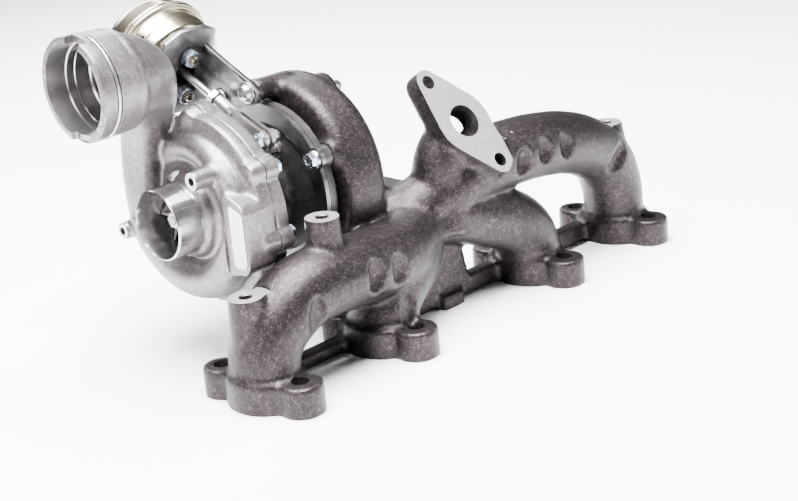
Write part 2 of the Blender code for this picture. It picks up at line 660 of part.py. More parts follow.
def nozzle(looks):
    x0, x1 = NOZZLE_X
    plate = tube("nozzle_ring", x0, x1, 42.7, 25.4, 32, finish=looks["nickel_alloy"], place=SHAFT)
    holes = []
    for angle in VANE_ANGLES:
        y, z = polar(VANE_PIVOT_RADIUS, angle)
        holes.append(rod("hole", x0 - 3, x1 + 3, 1.9, 8, place=(0, SHAFT_Y + y, SHAFT_Z + z)))
    cut(plate, *holes)

    swing = 0.5 * LEVER_STROKE
    ring_axis = empty("unison_ring_axis", SHAFT)
    ring = tube("unison_ring", *RING_X, 40.8, 34.8, 36, finish=looks["nickel_alloy"], parent=ring_axis)
    slots = []
    for angle in VANE_ANGLES + [PIVOT_ANGLE]:
        # the ring rests at one end of its turn, half a swing away from where the arms stand radial
        middle = angle + swing * RING_PER_LEVER
        tip = 2.55 if angle == PIVOT_ANGLE else 2.2
        slot = []
        for r, t in ((30, -tip), (RING_RADIUS + 2.0, -tip), (RING_RADIUS + 2.0, tip), (30, tip)):
            a = math.radians(middle)
            slot.append((r * math.cos(a) - t * math.sin(a), r * math.sin(a) + t * math.cos(a)))
        slots.append(prism("slot", slot, RING_X[0] - 2, RING_X[1] + 2, parent=ring_axis))
    cut(ring, *slots)

    lean = swing * RING_PER_LEVER * VANE_PER_RING
    for number, angle in enumerate(VANE_ANGLES, 1):
        y, z = polar(VANE_PIVOT_RADIUS, angle)
        axis = empty(f"vane_{number}_axis", (0, SHAFT_Y + y, SHAFT_Z + z))
        name = f"vane_{number}"
        vane = rod(name, -71.1, x1 + 1.2, 1.5, 8, finish=looks["nickel_alloy"], parent=axis)
        arm = prism("arm", arm_outline((0, 0), RING_RADIUS - VANE_PIVOT_RADIUS, 2.5, 1.65, angle + lean),
                    -71.2, -69.3, parent=axis)
        profile = [(-7.5, 0.0), (-4, 1.3), (0, 1.9), (4.5, 1.5), (7.0, 0.4), (7.0, -0.2), (3, -0.5),
                   (-3, -0.5)]
        a = math.radians(angle + lean - 62)
        foil = [(u * math.cos(a) + v * math.sin(a), u * math.sin(a) - v * math.cos(a))
                for u, v in profile]
        join(vane, arm, prism("foil", foil, x1 + 0.4, -50.0, parent=axis))
        vane.data.materials.clear()
        vane.data.materials.append(looks["nickel_alloy"])


def linkage(looks):
    lever_axis = empty("lever_axis", (0, PIVOT_Y, PIVOT_Z))
    inner_turn = PIVOT_ANGLE + 0.5 * LEVER_STROKE
    crank = rod("crank_shaft", -94.0, -69.4, 2.6, 14, finish=looks["steel"], parent=lever_axis)
    inner = prism("inner", arm_outline((0, 0), RING_RADIUS - PIVOT_RADIUS, 3.4, 2.0, inner_turn),
                  -71.2, -69.3, parent=lever_axis)
    join(crank, inner)
    crank.data.materials.clear()
    crank.data.materials.append(looks["steel"])

    arm = prism("lever_arm", arm_outline((0, 0), LEVER_LENGTH, 5.4, 4.6, LEVER_REST), -94.2, -91.0,
                finish=looks["steel"], parent=lever_axis)
    pin_y, pin_z = polar(LEVER_LENGTH, LEVER_REST)
    stop_y, stop_z = polar(8.5, LEVER_REST - 95)
    tab = prism("tab", [(stop_y * s - stop_z * t, stop_z * s + stop_y * t)
                        for s, t in ((0.3, -0.3), (1.0, -0.3), (1.0, 0.3), (0.3, 0.3))], -94.2, -91.0,
                parent=lever_axis)
    join(arm, tab)
    hole = rod("hole", -99, -88, 3.0, 12, parent=lever_axis)
    pin_hole = rod("pin_hole", -99, -88, 2.8, 12, parent=lever_axis, place=(0, pin_y, pin_z))
    cut(arm, hole, pin_hole)
    arm.data.materials.clear()
    arm.data.materials.append(looks["steel"])

    pin = turned("lever_pin", [(-107.0, 0), (-107.0, 2.0), (-90.6, 2.4), (-90.6, 4.2), (-88.9, 3.6),
                               (-88.9, 0)], 14, looks["steel"], parent=lever_axis,
                 place=(0, pin_y, pin_z))
    nut("lever_nut", -105.6, -101.4, 8.0, 2.9, looks["zinc_blue"], parent=lever_axis,
        place=(0, pin_y, pin_z))


# ---------------------------------------------------------------- vacuum actuator

ALONG = (0, 0, 90)
SOCKET_S = (27.0, 42.0)
PLATE_S = (72.6, 75.0)
CAN_S = 75.4


def actuator(looks):
    rod_axis = empty("rod_axis", (ROD_X, PIN_Y, PIN_Z), ROD_TILT)
    fixed_axis = empty("actuator_axis", (ROD_X, PIN_Y, PIN_Z), ROD_TILT)
    steel, zinc = looks["steel"], looks["zinc_yellow"]

    end = prism("rod_end", arc(0, 0, 6.2, 25, 335, 12) + [(8, -4.2), (30, -4.2), (30, 4.2), (8, 4.2)],
                -2.5, 2.5, steel, rod_axis)
    eye = rod("eye", -6, 6, 2.85, 14, parent=rod_axis)
    socket = rod("socket", SOCKET_S[0], SOCKET_S[1] + 3, 2.6, 12, parent=rod_axis, turn=ALONG)
    cut(end, eye)
    shoulder = rod("shoulder", SOCKET_S[0] - 5, SOCKET_S[1], 4.4, 14, parent=rod_axis, turn=ALONG)
    join(end, shoulder)
    cut(end, socket)
    end.data.materials.clear()
    end.data.materials.append(steel)
    nut("lock_nut", SOCKET_S[1] + 0.4, SOCKET_S[1] + 4.6, 9.0, 3.1, looks["zinc_blue"], parent=rod_axis,
        turn=ALONG)
    rod("actuator_rod", SOCKET_S[0] + 1.0, 92.0, 2.3, 14, finish=steel, parent=rod_axis, turn=ALONG)
    turned("piston_plate", [(92.3, 0), (92.3, 21), (93.5, 22), (97, 22), (97, 20.8), (93.8, 20.2),
                            (93.8, 0)], 24, steel, rod_axis, turn=ALONG, closed=False)
    turned("diaphragm", [(90.8, 3.2), (90.8, 23.2), (96.5, 24.2), (96.5, 27.2), (97.4, 27.2),
                         (97.4, 23.0), (92.0, 22.6), (92.0, 3.2)], 24, looks["rubber"], rod_axis,
           turn=ALONG)
    turned("actuator_can", [(CAN_S, 7.5), (CAN_S, 24.5), (79.5, 29.2), (95.5, 30.2), (95.5, 33.4),
                            (97.6, 33.4), (97.6, 31.0), (97.0, 29.0), (80.2, 28.0), (76.8, 24.0),
                            (76.8, 7.5)], 26, zinc, fixed_axis, turn=ALONG)
    turned("actuator_cover", [(98.0, 29.0), (98.0, 33.4), (99.8, 33.4), (99.8, 30.4),
                              (110, 29.4), (116, 25), (118.6, 16), (118.6, 3.3), (117.4, 3.3),
                              (117.4, 15.6), (115, 24), (109.5, 28.2)], 26, zinc, fixed_axis,
           turn=ALONG)
    turned("vacuum_nipple", [(117.0, 1.4), (117.0, 2.9), (119.0, 2.9), (119.0, 5), (121.5, 4),
                             (131, 3), (131, 1.4)], 14, steel, fixed_axis, turn=ALONG)
    coil_spring("return_spring", 94.3, 116.9, 17.0, 1.1, 4.0, looks["steel"], fixed_axis)

    for number, z in enumerate((12.5, -12.5), 1):
        stud = turned(f"actuator_stud_{number}", [(65.5, 0), (65.5, 2.4), (76.4, 2.4), (76.4, 0)], 12,
                      steel, fixed_axis, place=(0, 0, z), turn=ALONG, closed=False)
        nut(f"actuator_nut_{number}", 67.4, 72.2, 10.0, 3.2, looks["zinc_blue"], fixed_axis,
            place=(0, 0, z), turn=ALONG)
        can = bpy.data.objects["actuator_can"]
        join(can, stud)

    # bracket: a plate across the rod that carries the can, and a web along it down to two lugs
    cross = prism("actuator_bracket", [(-18, -27), (18, -27), (18, 24), (-18, 27)], *PLATE_S,
                  parent=fixed_axis, turn=ALONG)
    web = prism("web", [(112, 168), (103, 175), (81, 163.5), (60, 153.5), (53.5, 147.5), (55.5, 141.5),
                        (66, 138.5), (84, 134), (95, 133.5), (112, 140), (122, 146)], *BRACKET_X)
    join(cross, web)
    trim = prism("trim", [(-80, -60), (80, -60), (80, 60), (-80, 60)], PLATE_S[1], 130,
                 parent=fixed_axis, turn=ALONG)
    rod_hole = rod("rod_hole", 60, 90, 7.5, 16, parent=fixed_axis, turn=ALONG)
    stud_holes = [rod("stud_hole", 60, 90, 3.0, 12, parent=fixed_axis, turn=ALONG, place=(0, 0, z))
                  for z in (12.5, -12.5)]
    lug_holes = [rod("lug_hole", -95, -80, 3.3, 12, place=(0, SHAFT_Y + y, SHAFT_Z + z))
                 for y, z in BRACKET_LUGS]
    cut(cross, trim, rod_hole, *stud_holes, *lug_holes)
    cross.data.materials.clear()
    cross.data.materials.append(steel)
    for number, (y, z) in enumerate(BRACKET_LUGS, 1):
        bolt(f"bracket_bolt_{number}", BRACKET_X[0] - CLEARANCE, -76, 8.0, 2.9, steel,
             place=(0, SHAFT_Y + y, SHAFT_Z + z))


def coil_spring(name, s0, s1, radius, wire, turns, finish, parent):
    steps = int(turns * 9)
    path = []
    for k in range(steps + 1):
        a = 2 * math.pi * turns * k / steps
        s = s0 + wire + (s1 - s0 - 2 * wire) * k / steps
        path.append(Vector((s, radius * math.cos(a), radius * math.sin(a))))
    made = swept(name, path, (wire, wire), (wire, wire), 5, side=(1, 0, 0), finish=finish)
    made.parent = parent
    made.rotation_euler = [math.radians(a) for a in ALONG]
    return made


# ---------------------------------------------------------------- compressor housing

VOLUTE_TURN = (42.0, 352.0)
VOLUTE_RADIUS = 38.0
VOLUTE_SIZES = (6.5, 14.2)
VOLUTE_WALL = 3.4
NECK = [(-139.5, 97.5, 84), (-139.5, 98.5, 100), (-139.5, 98, 114), (-139.5, 95, 130), (-142, 86, 148),
        (-150, 74, 162), (-162, 64.5, 171.5), (-175, 60.5, 175.2), (-183, 60, 175.6)]
NECK_SIZES = (13.8, 13.8, 13.6, 13.8, 15.2, 18.2, 22.2, 25.2, 25.4)
BOSS_X = -156.0
SCREW_BOSSES = ((-26.0, 27.5, 5.2), (47.0, -14.0, 4.8))


def volute(shrink=0.0, count=12):
    """The spiral passage round the wheel, closing in on the back of the housing."""
    path, sizes = [], []
    for k in range(13):
        share = k / 12
        size = VOLUTE_SIZES[0] + (VOLUTE_SIZES[1] - VOLUTE_SIZES[0]) * share
        y, z = polar(VOLUTE_RADIUS, VOLUTE_TURN[0] + (VOLUTE_TURN[1] - VOLUTE_TURN[0]) * share)
        x = BACKPLATE_X[0] - 2.0 - size + 0.5 * shrink
        path.append(Vector((x, SHAFT_Y + y, SHAFT_Z + z)))
        sizes.append(size - shrink)
    return swept("volute", path, sizes, sizes, count, side=(1, 0, 0))


def neck(shrink=0.0, count=14):
    sizes = [size - shrink for size in NECK_SIZES]
    return swept("neck", smooth_path(NECK, 1), sizes, sizes, count, side=(0, 1, 0.2))


def compressor_housing(looks):
    x_rim = BACKPLATE_X[0] - CLEARANCE
    front, back = CONNECTOR_X
    outer = [(INLET_X, 0), (INLET_X, 19.6), (INLET_X + 0.8, 20.3), (-145, 20.3), (-145, 23.4),
             (-141, 23.4), (-140, 27), (-136, 36), (-133.5, 46), (-131, 55), (x_rim, 55), (x_rim, 0)]
    body = turned("compressor_housing", outer, 32, looks["aluminium"], place=SHAFT)
    rim = CONNECTOR_RADIUS
    connector = turned("connector", [(front, 0), (front, rim - 0.6), (front + 1, rim), (front + 8, rim),
                                     (front + 8, rim - 2), (front + 11, rim - 2), (front + 11, rim),
                                     (back - 1, rim), (back, rim - 1.4), (back, 0)], 32,
                       place=(0, CONNECTOR_Y, CONNECTOR_Z))
    bosses = [rod("boss", BOSS_X, BOSS_X + 24, radius, 14, place=(0, SHAFT_Y + y, SHAFT_Z + z))
              for y, z, radius in SCREW_BOSSES]
    pad = prism("pad", [(SHAFT_Y - 54.5, SHAFT_Z - 21), (SHAFT_Y - 51, SHAFT_Z - 25),
                        (SHAFT_Y - 38, SHAFT_Z - 27), (SHAFT_Y - 38, SHAFT_Z + 20),
                        (SHAFT_Y - 51, SHAFT_Z + 15), (SHAFT_Y - 54.5, SHAFT_Z + 11)], -145.6, -126)
    join(body, volute(), neck(), connector, pad, *bosses)

    wheel_room = turned("wheel_room", [(INLET_X - 4, 0), (INLET_X - 4, 21), (INLET_X + 1, 18.9),
                                       (INLET_X + 9, 17.7), (-141, 17.6), (-136, 19.4), (-132, 22.6),
                                       (-129.6, 25.4), (-129.6, 36), (-127.6, 44), (-120, 45),
                                       (-120, 0)], 28, place=SHAFT)
    socket = turned("socket", [(front - 4, 0), (front - 4, 24.6), (front + 12, 24.2),
                               (front + 12, 23.4), (-176, 23.2), (-176, 0)], 28,
                    place=(0, CONNECTOR_Y, CONNECTOR_Z))
    holes = []
    for angle in COMPRESSOR_BOLT_ANGLES:
        y, z = polar(COMPRESSOR_BOLT_RADIUS, angle)
        holes.append(rod("hole", x_rim - 4.8, x_rim + 4, 3.2, 8, place=(0, SHAFT_Y + y, SHAFT_Z + z)))
    for y, z, _ in SCREW_BOSSES:
        holes.append(rod("hole", BOSS_X - 4, BOSS_X + 12, 2.5, 10, place=(0, SHAFT_Y + y, SHAFT_Z + z)))
    cut(body, wheel_room, volute(VOLUTE_WALL, 8), neck(VOLUTE_WALL, 10), socket, *holes)
    body.data.materials.clear()
    body.data.materials.append(looks["aluminium"])

    groove = front + 9.5
    points = []
    for angle in range(-60, 241, 15):
        y, z = polar(CONNECTOR_RADIUS - 0.7, angle)
        points.append(Vector((groove, CONNECTOR_Y + y, CONNECTOR_Z + z)))
    swept("outlet_clip", points, (0.9, 0.9), (0.9, 0.9), 5, side=(1, 0, 0), finish=looks["steel"])
    prism("serial_label", [(SHAFT_Y - 53, SHAFT_Z - 20), (SHAFT_Y - 42, SHAFT_Z - 22),
                           (SHAFT_Y - 42, SHAFT_Z + 14), (SHAFT_Y - 53, SHAFT_Z + 10)],
          -146.6, -145.95, looks["label"])


def bracket_lugs():
    return [rod("lug", -84.8, -60, 6.5, 16, place=(0, SHAFT_Y + y, SHAFT_Z + z))
            for y, z in BRACKET_LUGS]


def main():
    clear_scene()
    looks = finishes()
    exhaust_manifold(looks["cast_iron"])
    centre_housing(looks)
    backplate(looks)
    clamp_parts(looks)
    bearings(looks)
    rotor(looks, empty("shaft_axis", SHAFT))
    nozzle(looks)
    linkage(looks)
    actuator(looks)
    compressor_housing(looks)


main()
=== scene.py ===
import json
import math
import bpy
from mathutils import Matrix, Vector


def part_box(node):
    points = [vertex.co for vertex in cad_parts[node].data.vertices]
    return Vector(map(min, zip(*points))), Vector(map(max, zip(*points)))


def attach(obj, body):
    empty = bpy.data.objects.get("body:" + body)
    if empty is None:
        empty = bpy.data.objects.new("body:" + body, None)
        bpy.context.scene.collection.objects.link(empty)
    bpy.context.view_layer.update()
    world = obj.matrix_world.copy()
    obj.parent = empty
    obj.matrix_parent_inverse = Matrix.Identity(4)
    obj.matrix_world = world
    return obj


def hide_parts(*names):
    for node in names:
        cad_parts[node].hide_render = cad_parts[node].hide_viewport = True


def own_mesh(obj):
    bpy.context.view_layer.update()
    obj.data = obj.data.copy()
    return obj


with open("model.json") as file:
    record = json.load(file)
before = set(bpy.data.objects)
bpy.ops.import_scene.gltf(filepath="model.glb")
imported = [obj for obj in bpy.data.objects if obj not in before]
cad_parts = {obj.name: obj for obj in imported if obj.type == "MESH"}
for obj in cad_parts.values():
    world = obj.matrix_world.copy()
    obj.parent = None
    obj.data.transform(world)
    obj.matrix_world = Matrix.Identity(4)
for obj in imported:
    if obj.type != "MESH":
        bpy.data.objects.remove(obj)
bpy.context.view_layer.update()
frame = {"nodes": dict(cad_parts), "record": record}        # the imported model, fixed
mm = 0.001
nodes = frame["nodes"]
print("frame loaded:", len(nodes), "nodes")


def middle(node):
    # the middle of a node's box, in mm
    low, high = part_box(node)
    return (Vector(low) + Vector(high)) / 2 / mm


shaft = Vector((0, middle("heat_shield").y, middle("heat_shield").z))
joints = {joint["name"]: joint for joint in frame["record"]["behaviour"]["joints"]}
pinPlace = Vector(joints["rod_pivot"]["pos_m"]) / mm
rodTilt = math.radians(24.8)        # how far the vacuum can's axis rises from level
rodFrame = (Matrix.Translation(pinPlace * mm) @ Matrix.Rotation(rodTilt, 4, "X")
            @ Matrix.Rotation(math.pi / 2, 4, "Z"))
crank = Vector(joints["lever_turn"]["pos_m"]) / mm
print("shaft at", [round(v, 2) for v in shaft], "mm, lever pin at", [round(v, 2) for v in pinPlace])


# making and shaping; every length given to these is in millimetres

def pickOnly(*objs):
    if bpy.context.object and bpy.context.object.mode != "OBJECT":
        bpy.ops.object.mode_set(mode="OBJECT")
    bpy.ops.object.select_all(action="DESELECT")
    for obj in objs:
        obj.select_set(True)
    if objs:
        bpy.context.view_layer.objects.active = objs[0]


def settle(obj, matrix=None):
    if matrix is not None:
        obj.matrix_world = matrix
    pickOnly(obj)
    bpy.ops.object.transform_apply(location=True, rotation=True, scale=True)
    return obj


def addRod(name, start, end, radius, tipRadius=None, sides=48, oval=1.0):
    pickOnly()
    start, end = Vector(start) * mm, Vector(end) * mm
    along = end - start
    tip = radius if tipRadius is None else tipRadius
    bpy.ops.mesh.primitive_cone_add(vertices=sides, radius1=radius * mm, radius2=tip * mm,
                                    depth=along.length)
    obj = bpy.context.object
    obj.name = name
    turn = along.to_track_quat("Z", "Y").to_matrix().to_4x4()
    return settle(obj, Matrix.Translation((start + end) / 2) @ turn @ Matrix.Diagonal((1, oval, 1, 1)))


def addBlock(name, low, high, edge=0.0, matrix=None):
    pickOnly()
    low, high = Vector(low) * mm, Vector(high) * mm
    bpy.ops.mesh.primitive_cube_add(size=1)
    obj = bpy.context.object
    obj.name = name
    settle(obj, Matrix.Translation((low + high) / 2) @ Matrix.Diagonal((*(high - low), 1)))
    if edge:
        useModifier(obj, "BEVEL", width=edge * mm, segments=3)
    return settle(obj, matrix) if matrix is not None else obj


def addBall(name, place, radii, lean=0.0):
    # an ellipsoid, leaned in degrees about Y
    pickOnly()
    bpy.ops.mesh.primitive_uv_sphere_add(segments=32, ring_count=20, radius=1)
    obj = bpy.context.object
    obj.name = name
    turn = Matrix.Rotation(math.radians(lean), 4, "Y")
    return settle(obj, Matrix.Translation(Vector(place) * mm) @ turn
                  @ Matrix.Diagonal((*(Vector(radii) * mm), 1)))


def addPipe(name, points, radii, flat=1.0, fine=10):
    # a bezier through the points, its round section swelling and narrowing; flat widens it along Y
    pickOnly()
    bpy.ops.curve.primitive_bezier_curve_add()
    obj = bpy.context.object
    obj.name = name
    curve = obj.data
    knots = curve.splines[0].bezier_points
    knots.add(len(points) - len(knots))
    for k, (point, knot) in enumerate(zip(points, knots)):
        share = k / (len(points) - 1) * (len(radii) - 1)
        step = min(int(share), len(radii) - 2)
        knot.co = (point[0] * mm, point[1] * mm / flat, point[2] * mm)
        knot.handle_left_type = knot.handle_right_type = "AUTO"
        knot.radius = (radii[step] + (radii[step + 1] - radii[step]) * (share - step)) * mm
    curve.dimensions = "3D"
    curve.resolution_u = fine
    curve.bevel_depth = 1.0
    curve.bevel_resolution = fine
    curve.use_fill_caps = True
    pickOnly(obj)
    bpy.ops.object.convert(target="MESH")
    obj = tidyMesh(bpy.context.object)
    return settle(obj, Matrix.Diagonal((1, flat, 1, 1)))


def startLine(name, first):
    # one vertex, ready to be extruded into an outline
    pickOnly()
    bpy.ops.mesh.primitive_plane_add(size=0.001)
    bpy.context.object.name = name
    bpy.ops.object.mode_set(mode="EDIT")
    bpy.ops.mesh.select_all(action="SELECT")
    bpy.ops.mesh.merge(type="CENTER")
    bpy.ops.transform.translate(value=Vector(first) * mm)
    return bpy.context.object


def drawLine(points):
    for before, after in zip(points, points[1:]):
        step = (Vector(after) - Vector(before)) * mm
        bpy.ops.mesh.extrude_vertices_move(TRANSFORM_OT_translate={"value": step})


def addPlate(name, corners, thickness, edge=0.0, matrix=None):
    obj = startLine(name, corners[0])
    drawLine(corners)
    bpy.ops.mesh.select_all(action="SELECT")
    bpy.ops.mesh.edge_face_add()
    bpy.ops.mesh.extrude_region_move(TRANSFORM_OT_translate={"value": Vector(thickness) * mm})
    bpy.ops.object.mode_set(mode="OBJECT")
    tidyMesh(obj)
    if edge:
        useModifier(obj, "BEVEL", width=edge * mm, segments=3, angle_limit=math.radians(40))
    return settle(obj, matrix)


def tidyMesh(obj, gap=1e-6):
    pickOnly(obj)
    bpy.ops.object.mode_set(mode="EDIT")
    bpy.ops.mesh.select_all(action="SELECT")
    bpy.ops.mesh.remove_doubles(threshold=gap)
    bpy.ops.mesh.normals_make_consistent(inside=False)
    bpy.ops.object.mode_set(mode="OBJECT")
    return obj


def useModifier(obj, kind, **settings):
    pickOnly(obj)
    change = obj.modifiers.new(kind.lower(), kind)
    for key, value in settings.items():
        setattr(change, key, value)
    bpy.ops.object.modifier_apply(modifier=change.name)
    return obj


def turned(name, profile, matrix=None, sides=96):
    # an outline of (x, radius) spun about X, placed on the shaft unless told otherwise
    points = [(x, 0, radius) for x, radius in profile]
    obj = startLine(name, points[0])
    drawLine(points)
    bpy.ops.mesh.select_all(action="SELECT")
    bpy.ops.mesh.spin(steps=sides, angle=2 * math.pi, center=(0, 0, 0), axis=(1, 0, 0))
    bpy.ops.object.mode_set(mode="OBJECT")
    tidyMesh(obj, 2e-6)
    return settle(obj, matrix if matrix is not None else Matrix.Translation(shaft * mm))


def rounded(profile, reach, steps=3):
    # cuts each inner corner of a turned outline with a small arc, reach in mm
    out = [profile[0]]
    for before, here, after in zip(profile, profile[1:], profile[2:]):
        a, b, c = Vector(before), Vector(here), Vector(after)
        near = min(reach, (a - b).length * 0.45, (c - b).length * 0.45)
        start = b + (a - b).normalized() * near
        end = b + (c - b).normalized() * near
        for k in range(steps + 1):
            t = k / steps
            out.append(tuple(start * (1 - t) ** 2 + b * 2 * t * (1 - t) + end * t ** 2))
    out.append(profile[-1])
    return out


def merged(name, parts):
    pickOnly(*parts)
    if len(parts) > 1:
        bpy.ops.object.join()
    obj = bpy.context.object
    obj.name = name
    return obj


def cast(name, parts, look):
    # one skin over all the parts, then softened as a casting is
    obj = merged(name, parts)
    useModifier(obj, "REMESH", mode="VOXEL", voxel_size=look["skin"] * mm, adaptivity=0.0)
    useModifier(obj, "SMOOTH", factor=0.5, iterations=look["softening"])
    return obj


def carve(obj, cutters, how="DIFFERENCE"):
    for cutter in cutters:
        useModifier(obj, "BOOLEAN", operation=how, solver="MANIFOLD", object=cutter)
        bpy.data.objects.remove(cutter, do_unlink=True)
    return obj


def hulled(name, parts):
    obj = merged(name, parts)
    bpy.ops.object.mode_set(mode="EDIT")
    bpy.ops.mesh.select_all(action="SELECT")
    bpy.ops.mesh.convex_hull()
    bpy.ops.object.mode_set(mode="OBJECT")
    return tidyMesh(obj)


def sliceOff(obj, place, normal):
    # takes away what lies beyond the plane and closes the face
    pickOnly(obj)
    bpy.ops.object.mode_set(mode="EDIT")
    bpy.ops.mesh.select_all(action="SELECT")
    bpy.ops.mesh.bisect(plane_co=Vector(place) * mm, plane_no=normal, use_fill=True, clear_outer=True)
    bpy.ops.object.mode_set(mode="OBJECT")
    return obj


def smoothShade(obj, angle=32):
    pickOnly(obj)
    bpy.ops.object.shade_smooth_by_angle(angle=math.radians(angle))
    return obj


def dress(obj, finish, body, node):
    # gives a piece its finish and the body it rides on, and hides the node it stands for
    obj.data.materials.clear()
    obj.data.materials.append(finish)
    for face in obj.data.polygons:
        face.material_index = 0
    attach(obj, body)
    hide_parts(node)
    return obj


def mill(obj, finish, where):
    # a second finish on the faces that where accepts, from their place in mm and their normal
    obj.data.materials.append(finish)
    last = len(obj.data.materials) - 1
    for face in obj.data.polygons:
        if where(face.center / mm, face.normal):
            face.material_index = last


def about(angle, radius, x=0.0):
    # a point round the shaft, in degrees from +Y towards +Z
    a = math.radians(angle)
    return Vector((x, shaft.y + radius * math.cos(a), shaft.z + radius * math.sin(a)))


# finishes

class Wire:
    def __init__(self, finish, socket):
        self.finish = finish
        self.socket = socket

    def maths(self, operation, left, right):
        return self.finish.node("ShaderNodeMath", {"operation": operation}, {0: left, 1: right})

    def __add__(self, other):
        return self.maths("ADD", self, other)

    def __sub__(self, other):
        return self.maths("SUBTRACT", self, other)

    def __rsub__(self, other):
        return self.maths("SUBTRACT", other, self)

    def __mul__(self, other):
        return self.maths("MULTIPLY", self, other)

    __radd__ = __add__
    __rmul__ = __mul__


class Finish:
    def __init__(self, name, metallic, coat=0.0):
        self.material = bpy.data.materials.new(name)
        self.material.use_nodes = True
        self.tree = self.material.node_tree
        self.shader = self.tree.nodes["Principled BSDF"]
        self.shader.inputs["Metallic"].default_value = metallic
        self.shader.inputs["Coat Weight"].default_value = coat
        self.place = self.node("ShaderNodeTexCoord", {}, {}, "Object")

    def node(self, kind, settings, inputs, out=0):
        made = self.tree.nodes.new(kind)
        for key, value in settings.items():
            if key == "stops":
                ramp = made.color_ramp
                while len(ramp.elements) < len(value):
                    ramp.elements.new(0.5)
                for element, (place, shade) in zip(ramp.elements, value):
                    element.position = place
                    element.color = (*shade, 1) if isinstance(shade, tuple) else (shade, shade, shade, 1)
            else:
                setattr(made, key, value)
        for key, value in inputs.items():
            if isinstance(value, Wire):
                self.tree.links.new(value.socket, made.inputs[key])
            else:
                made.inputs[key].default_value = value
        return Wire(self, made.outputs[out])

    def noise(self, size, detail=3.0, roughness=0.55):
        return self.node("ShaderNodeTexNoise", {}, {"Vector": self.place, "Scale": 1.0 / size,
                                                    "Detail": detail, "Roughness": roughness})

    def ramp(self, value, *stops):
        return self.node("ShaderNodeValToRGB", {"stops": stops}, {0: value})

    def blend(self, share, first, second):
        return self.node("ShaderNodeMix", {"data_type": "RGBA"}, {0: share, 6: first, 7: second}, 2)

    def bump(self, height, depth, strength=1.0, under=None):
        inputs = {"Height": height, "Distance": depth, "Strength": strength}
        if under:
            inputs["Normal"] = under
        return self.node("ShaderNodeBump", {}, inputs)

    def feed(self, **wires):
        for key, value in wires.items():
            socket = self.shader.inputs[key.replace("_", " ")]
            if isinstance(value, Wire):
                self.tree.links.new(value.socket, socket)
            else:
                socket.default_value = value
        return self.material


def castSkin(name, look):
    # grain of blasted sand casting: fine pits, blotches, painted shade in hollows, and bright edges that are
    # partly worn metal and partly painted highlight
    finish = Finish(name, look["metallic"])
    fine = finish.noise(look["grain"], 2.0, 0.6)
    coarse = finish.noise(look["grain"] * 3.4, 3.0, 0.6)
    blotch = finish.noise(look["blotch"], 3.0)
    speck = finish.node("ShaderNodeTexVoronoi", {}, {"Vector": finish.place, "Scale": 1.0 / look["grain"]})
    # sharp edges, found by pointiness, are lightened towards the light tone: partly worn metal, partly
    # painted highlight
    edge = finish.ramp(finish.node("ShaderNodeNewGeometry", {}, {}, "Pointiness"),
                       (look["edge"][0], 0.0), (look["edge"][1], 1.0))
    # painted shade: concave places, where pointiness is low, are darkened towards the dark tone
    paintedHollowShade = finish.ramp(finish.node("ShaderNodeNewGeometry", {}, {}, "Pointiness"),
                         (0.40, 1.0), (0.49, 0.0))
    tone = finish.ramp(fine * 0.6 + coarse * 0.4, (0.30, look["dark"]), (0.54, look["main"]),
                       (0.86, look["light"]))
    tone = finish.blend(finish.ramp(blotch, (0.35, 0.0), (0.70, look["patchiness"])), tone,
                        (*look["dark"], 1))
    # painted shade in the hollows, mixed in at 0.45
    tone = finish.blend(paintedHollowShade * 0.45, tone, (*look["dark"], 1))
    # lightens the edges: worn metal and painted highlight together
    tone = finish.blend(edge * look["edgeWearAndHighlight"], tone, (*look["light"], 1))
    skin = finish.bump(coarse, look["depth"] * 1.2, 0.35)
    skin = finish.bump(fine, look["depth"], look["bite"], skin)
    skin = finish.bump(speck, look["depth"] * 0.6, look["bite"] * 0.6, skin)
    gloss = look["roughness"] + (fine - 0.5) * 0.25 - edge * 0.10
    return finish.feed(Base_Color=tone, Roughness=gloss, Normal=skin)


def machinedSkin(name, look):
    # fine tool rings round an axis, with faint stains
    finish = Finish(name, look["metallic"])
    parts = finish.node("ShaderNodeMapping", {}, {"Vector": finish.place,
                                                  "Location": tuple(-v for v in look["centre"])})
    across = finish.node("ShaderNodeVectorMath", {"operation": "MULTIPLY"}, {0: parts, 1: look["flatten"]})
    radius = finish.node("ShaderNodeVectorMath", {"operation": "LENGTH"}, {0: across}, "Value")
    along = finish.node("ShaderNodeSeparateXYZ", {}, {0: parts}, "X")
    rings = finish.node("ShaderNodeMath", {"operation": "SINE"}, {0: (radius + along) * look["pitch"]})
    stain = finish.noise(0.006, 3.0)
    scratch = finish.noise(0.0011, 4.0, 0.7)
    stained = finish.ramp(stain, (0.30, 0.0), (0.72, 0.55))
    tone = finish.blend(stained, (*look["light"], 1), (*look["dark"], 1))
    tone = finish.blend(scratch * 0.25, tone, (*look["dark"], 1))
    skin = finish.bump(rings, 0.00002, 0.5)
    skin = finish.bump(scratch, 0.00003, 0.25, skin)
    gloss = look["roughness"] + stain * 0.12 + rings * 0.02
    return finish.feed(Base_Color=tone, Roughness=gloss, Normal=skin)


def platedSkin(name, look):
    # plating with slow drifts of tint, fine haze and dull spots
    finish = Finish(name, look["metallic"], look.get("coat", 0.0))
    drift = finish.noise(look["drift"], 3.0)
    haze = finish.noise(0.0009, 3.0, 0.7)
    tone = finish.ramp(drift, (0.30, look["first"]), (0.50, look["second"]), (0.70, look["third"]))
    tone = finish.blend(haze * look["haze"], tone, (*look["dark"], 1))
    return finish.feed(Base_Color=tone, Roughness=look["roughness"] + haze * 0.12 + drift * 0.06,
                       Normal=finish.bump(haze, 0.00003, 0.35))


def softSkin(name, look):
    finish = Finish(name, 0.0)
    grain = finish.noise(look["grain"], 4.0)
    tone = finish.blend(grain, (*look["dark"], 1), (*look["light"], 1))
    return finish.feed(Base_Color=tone, Roughness=look["roughness"] + grain * 0.15,
                       Normal=finish.bump(grain, 0.00004, 0.4))


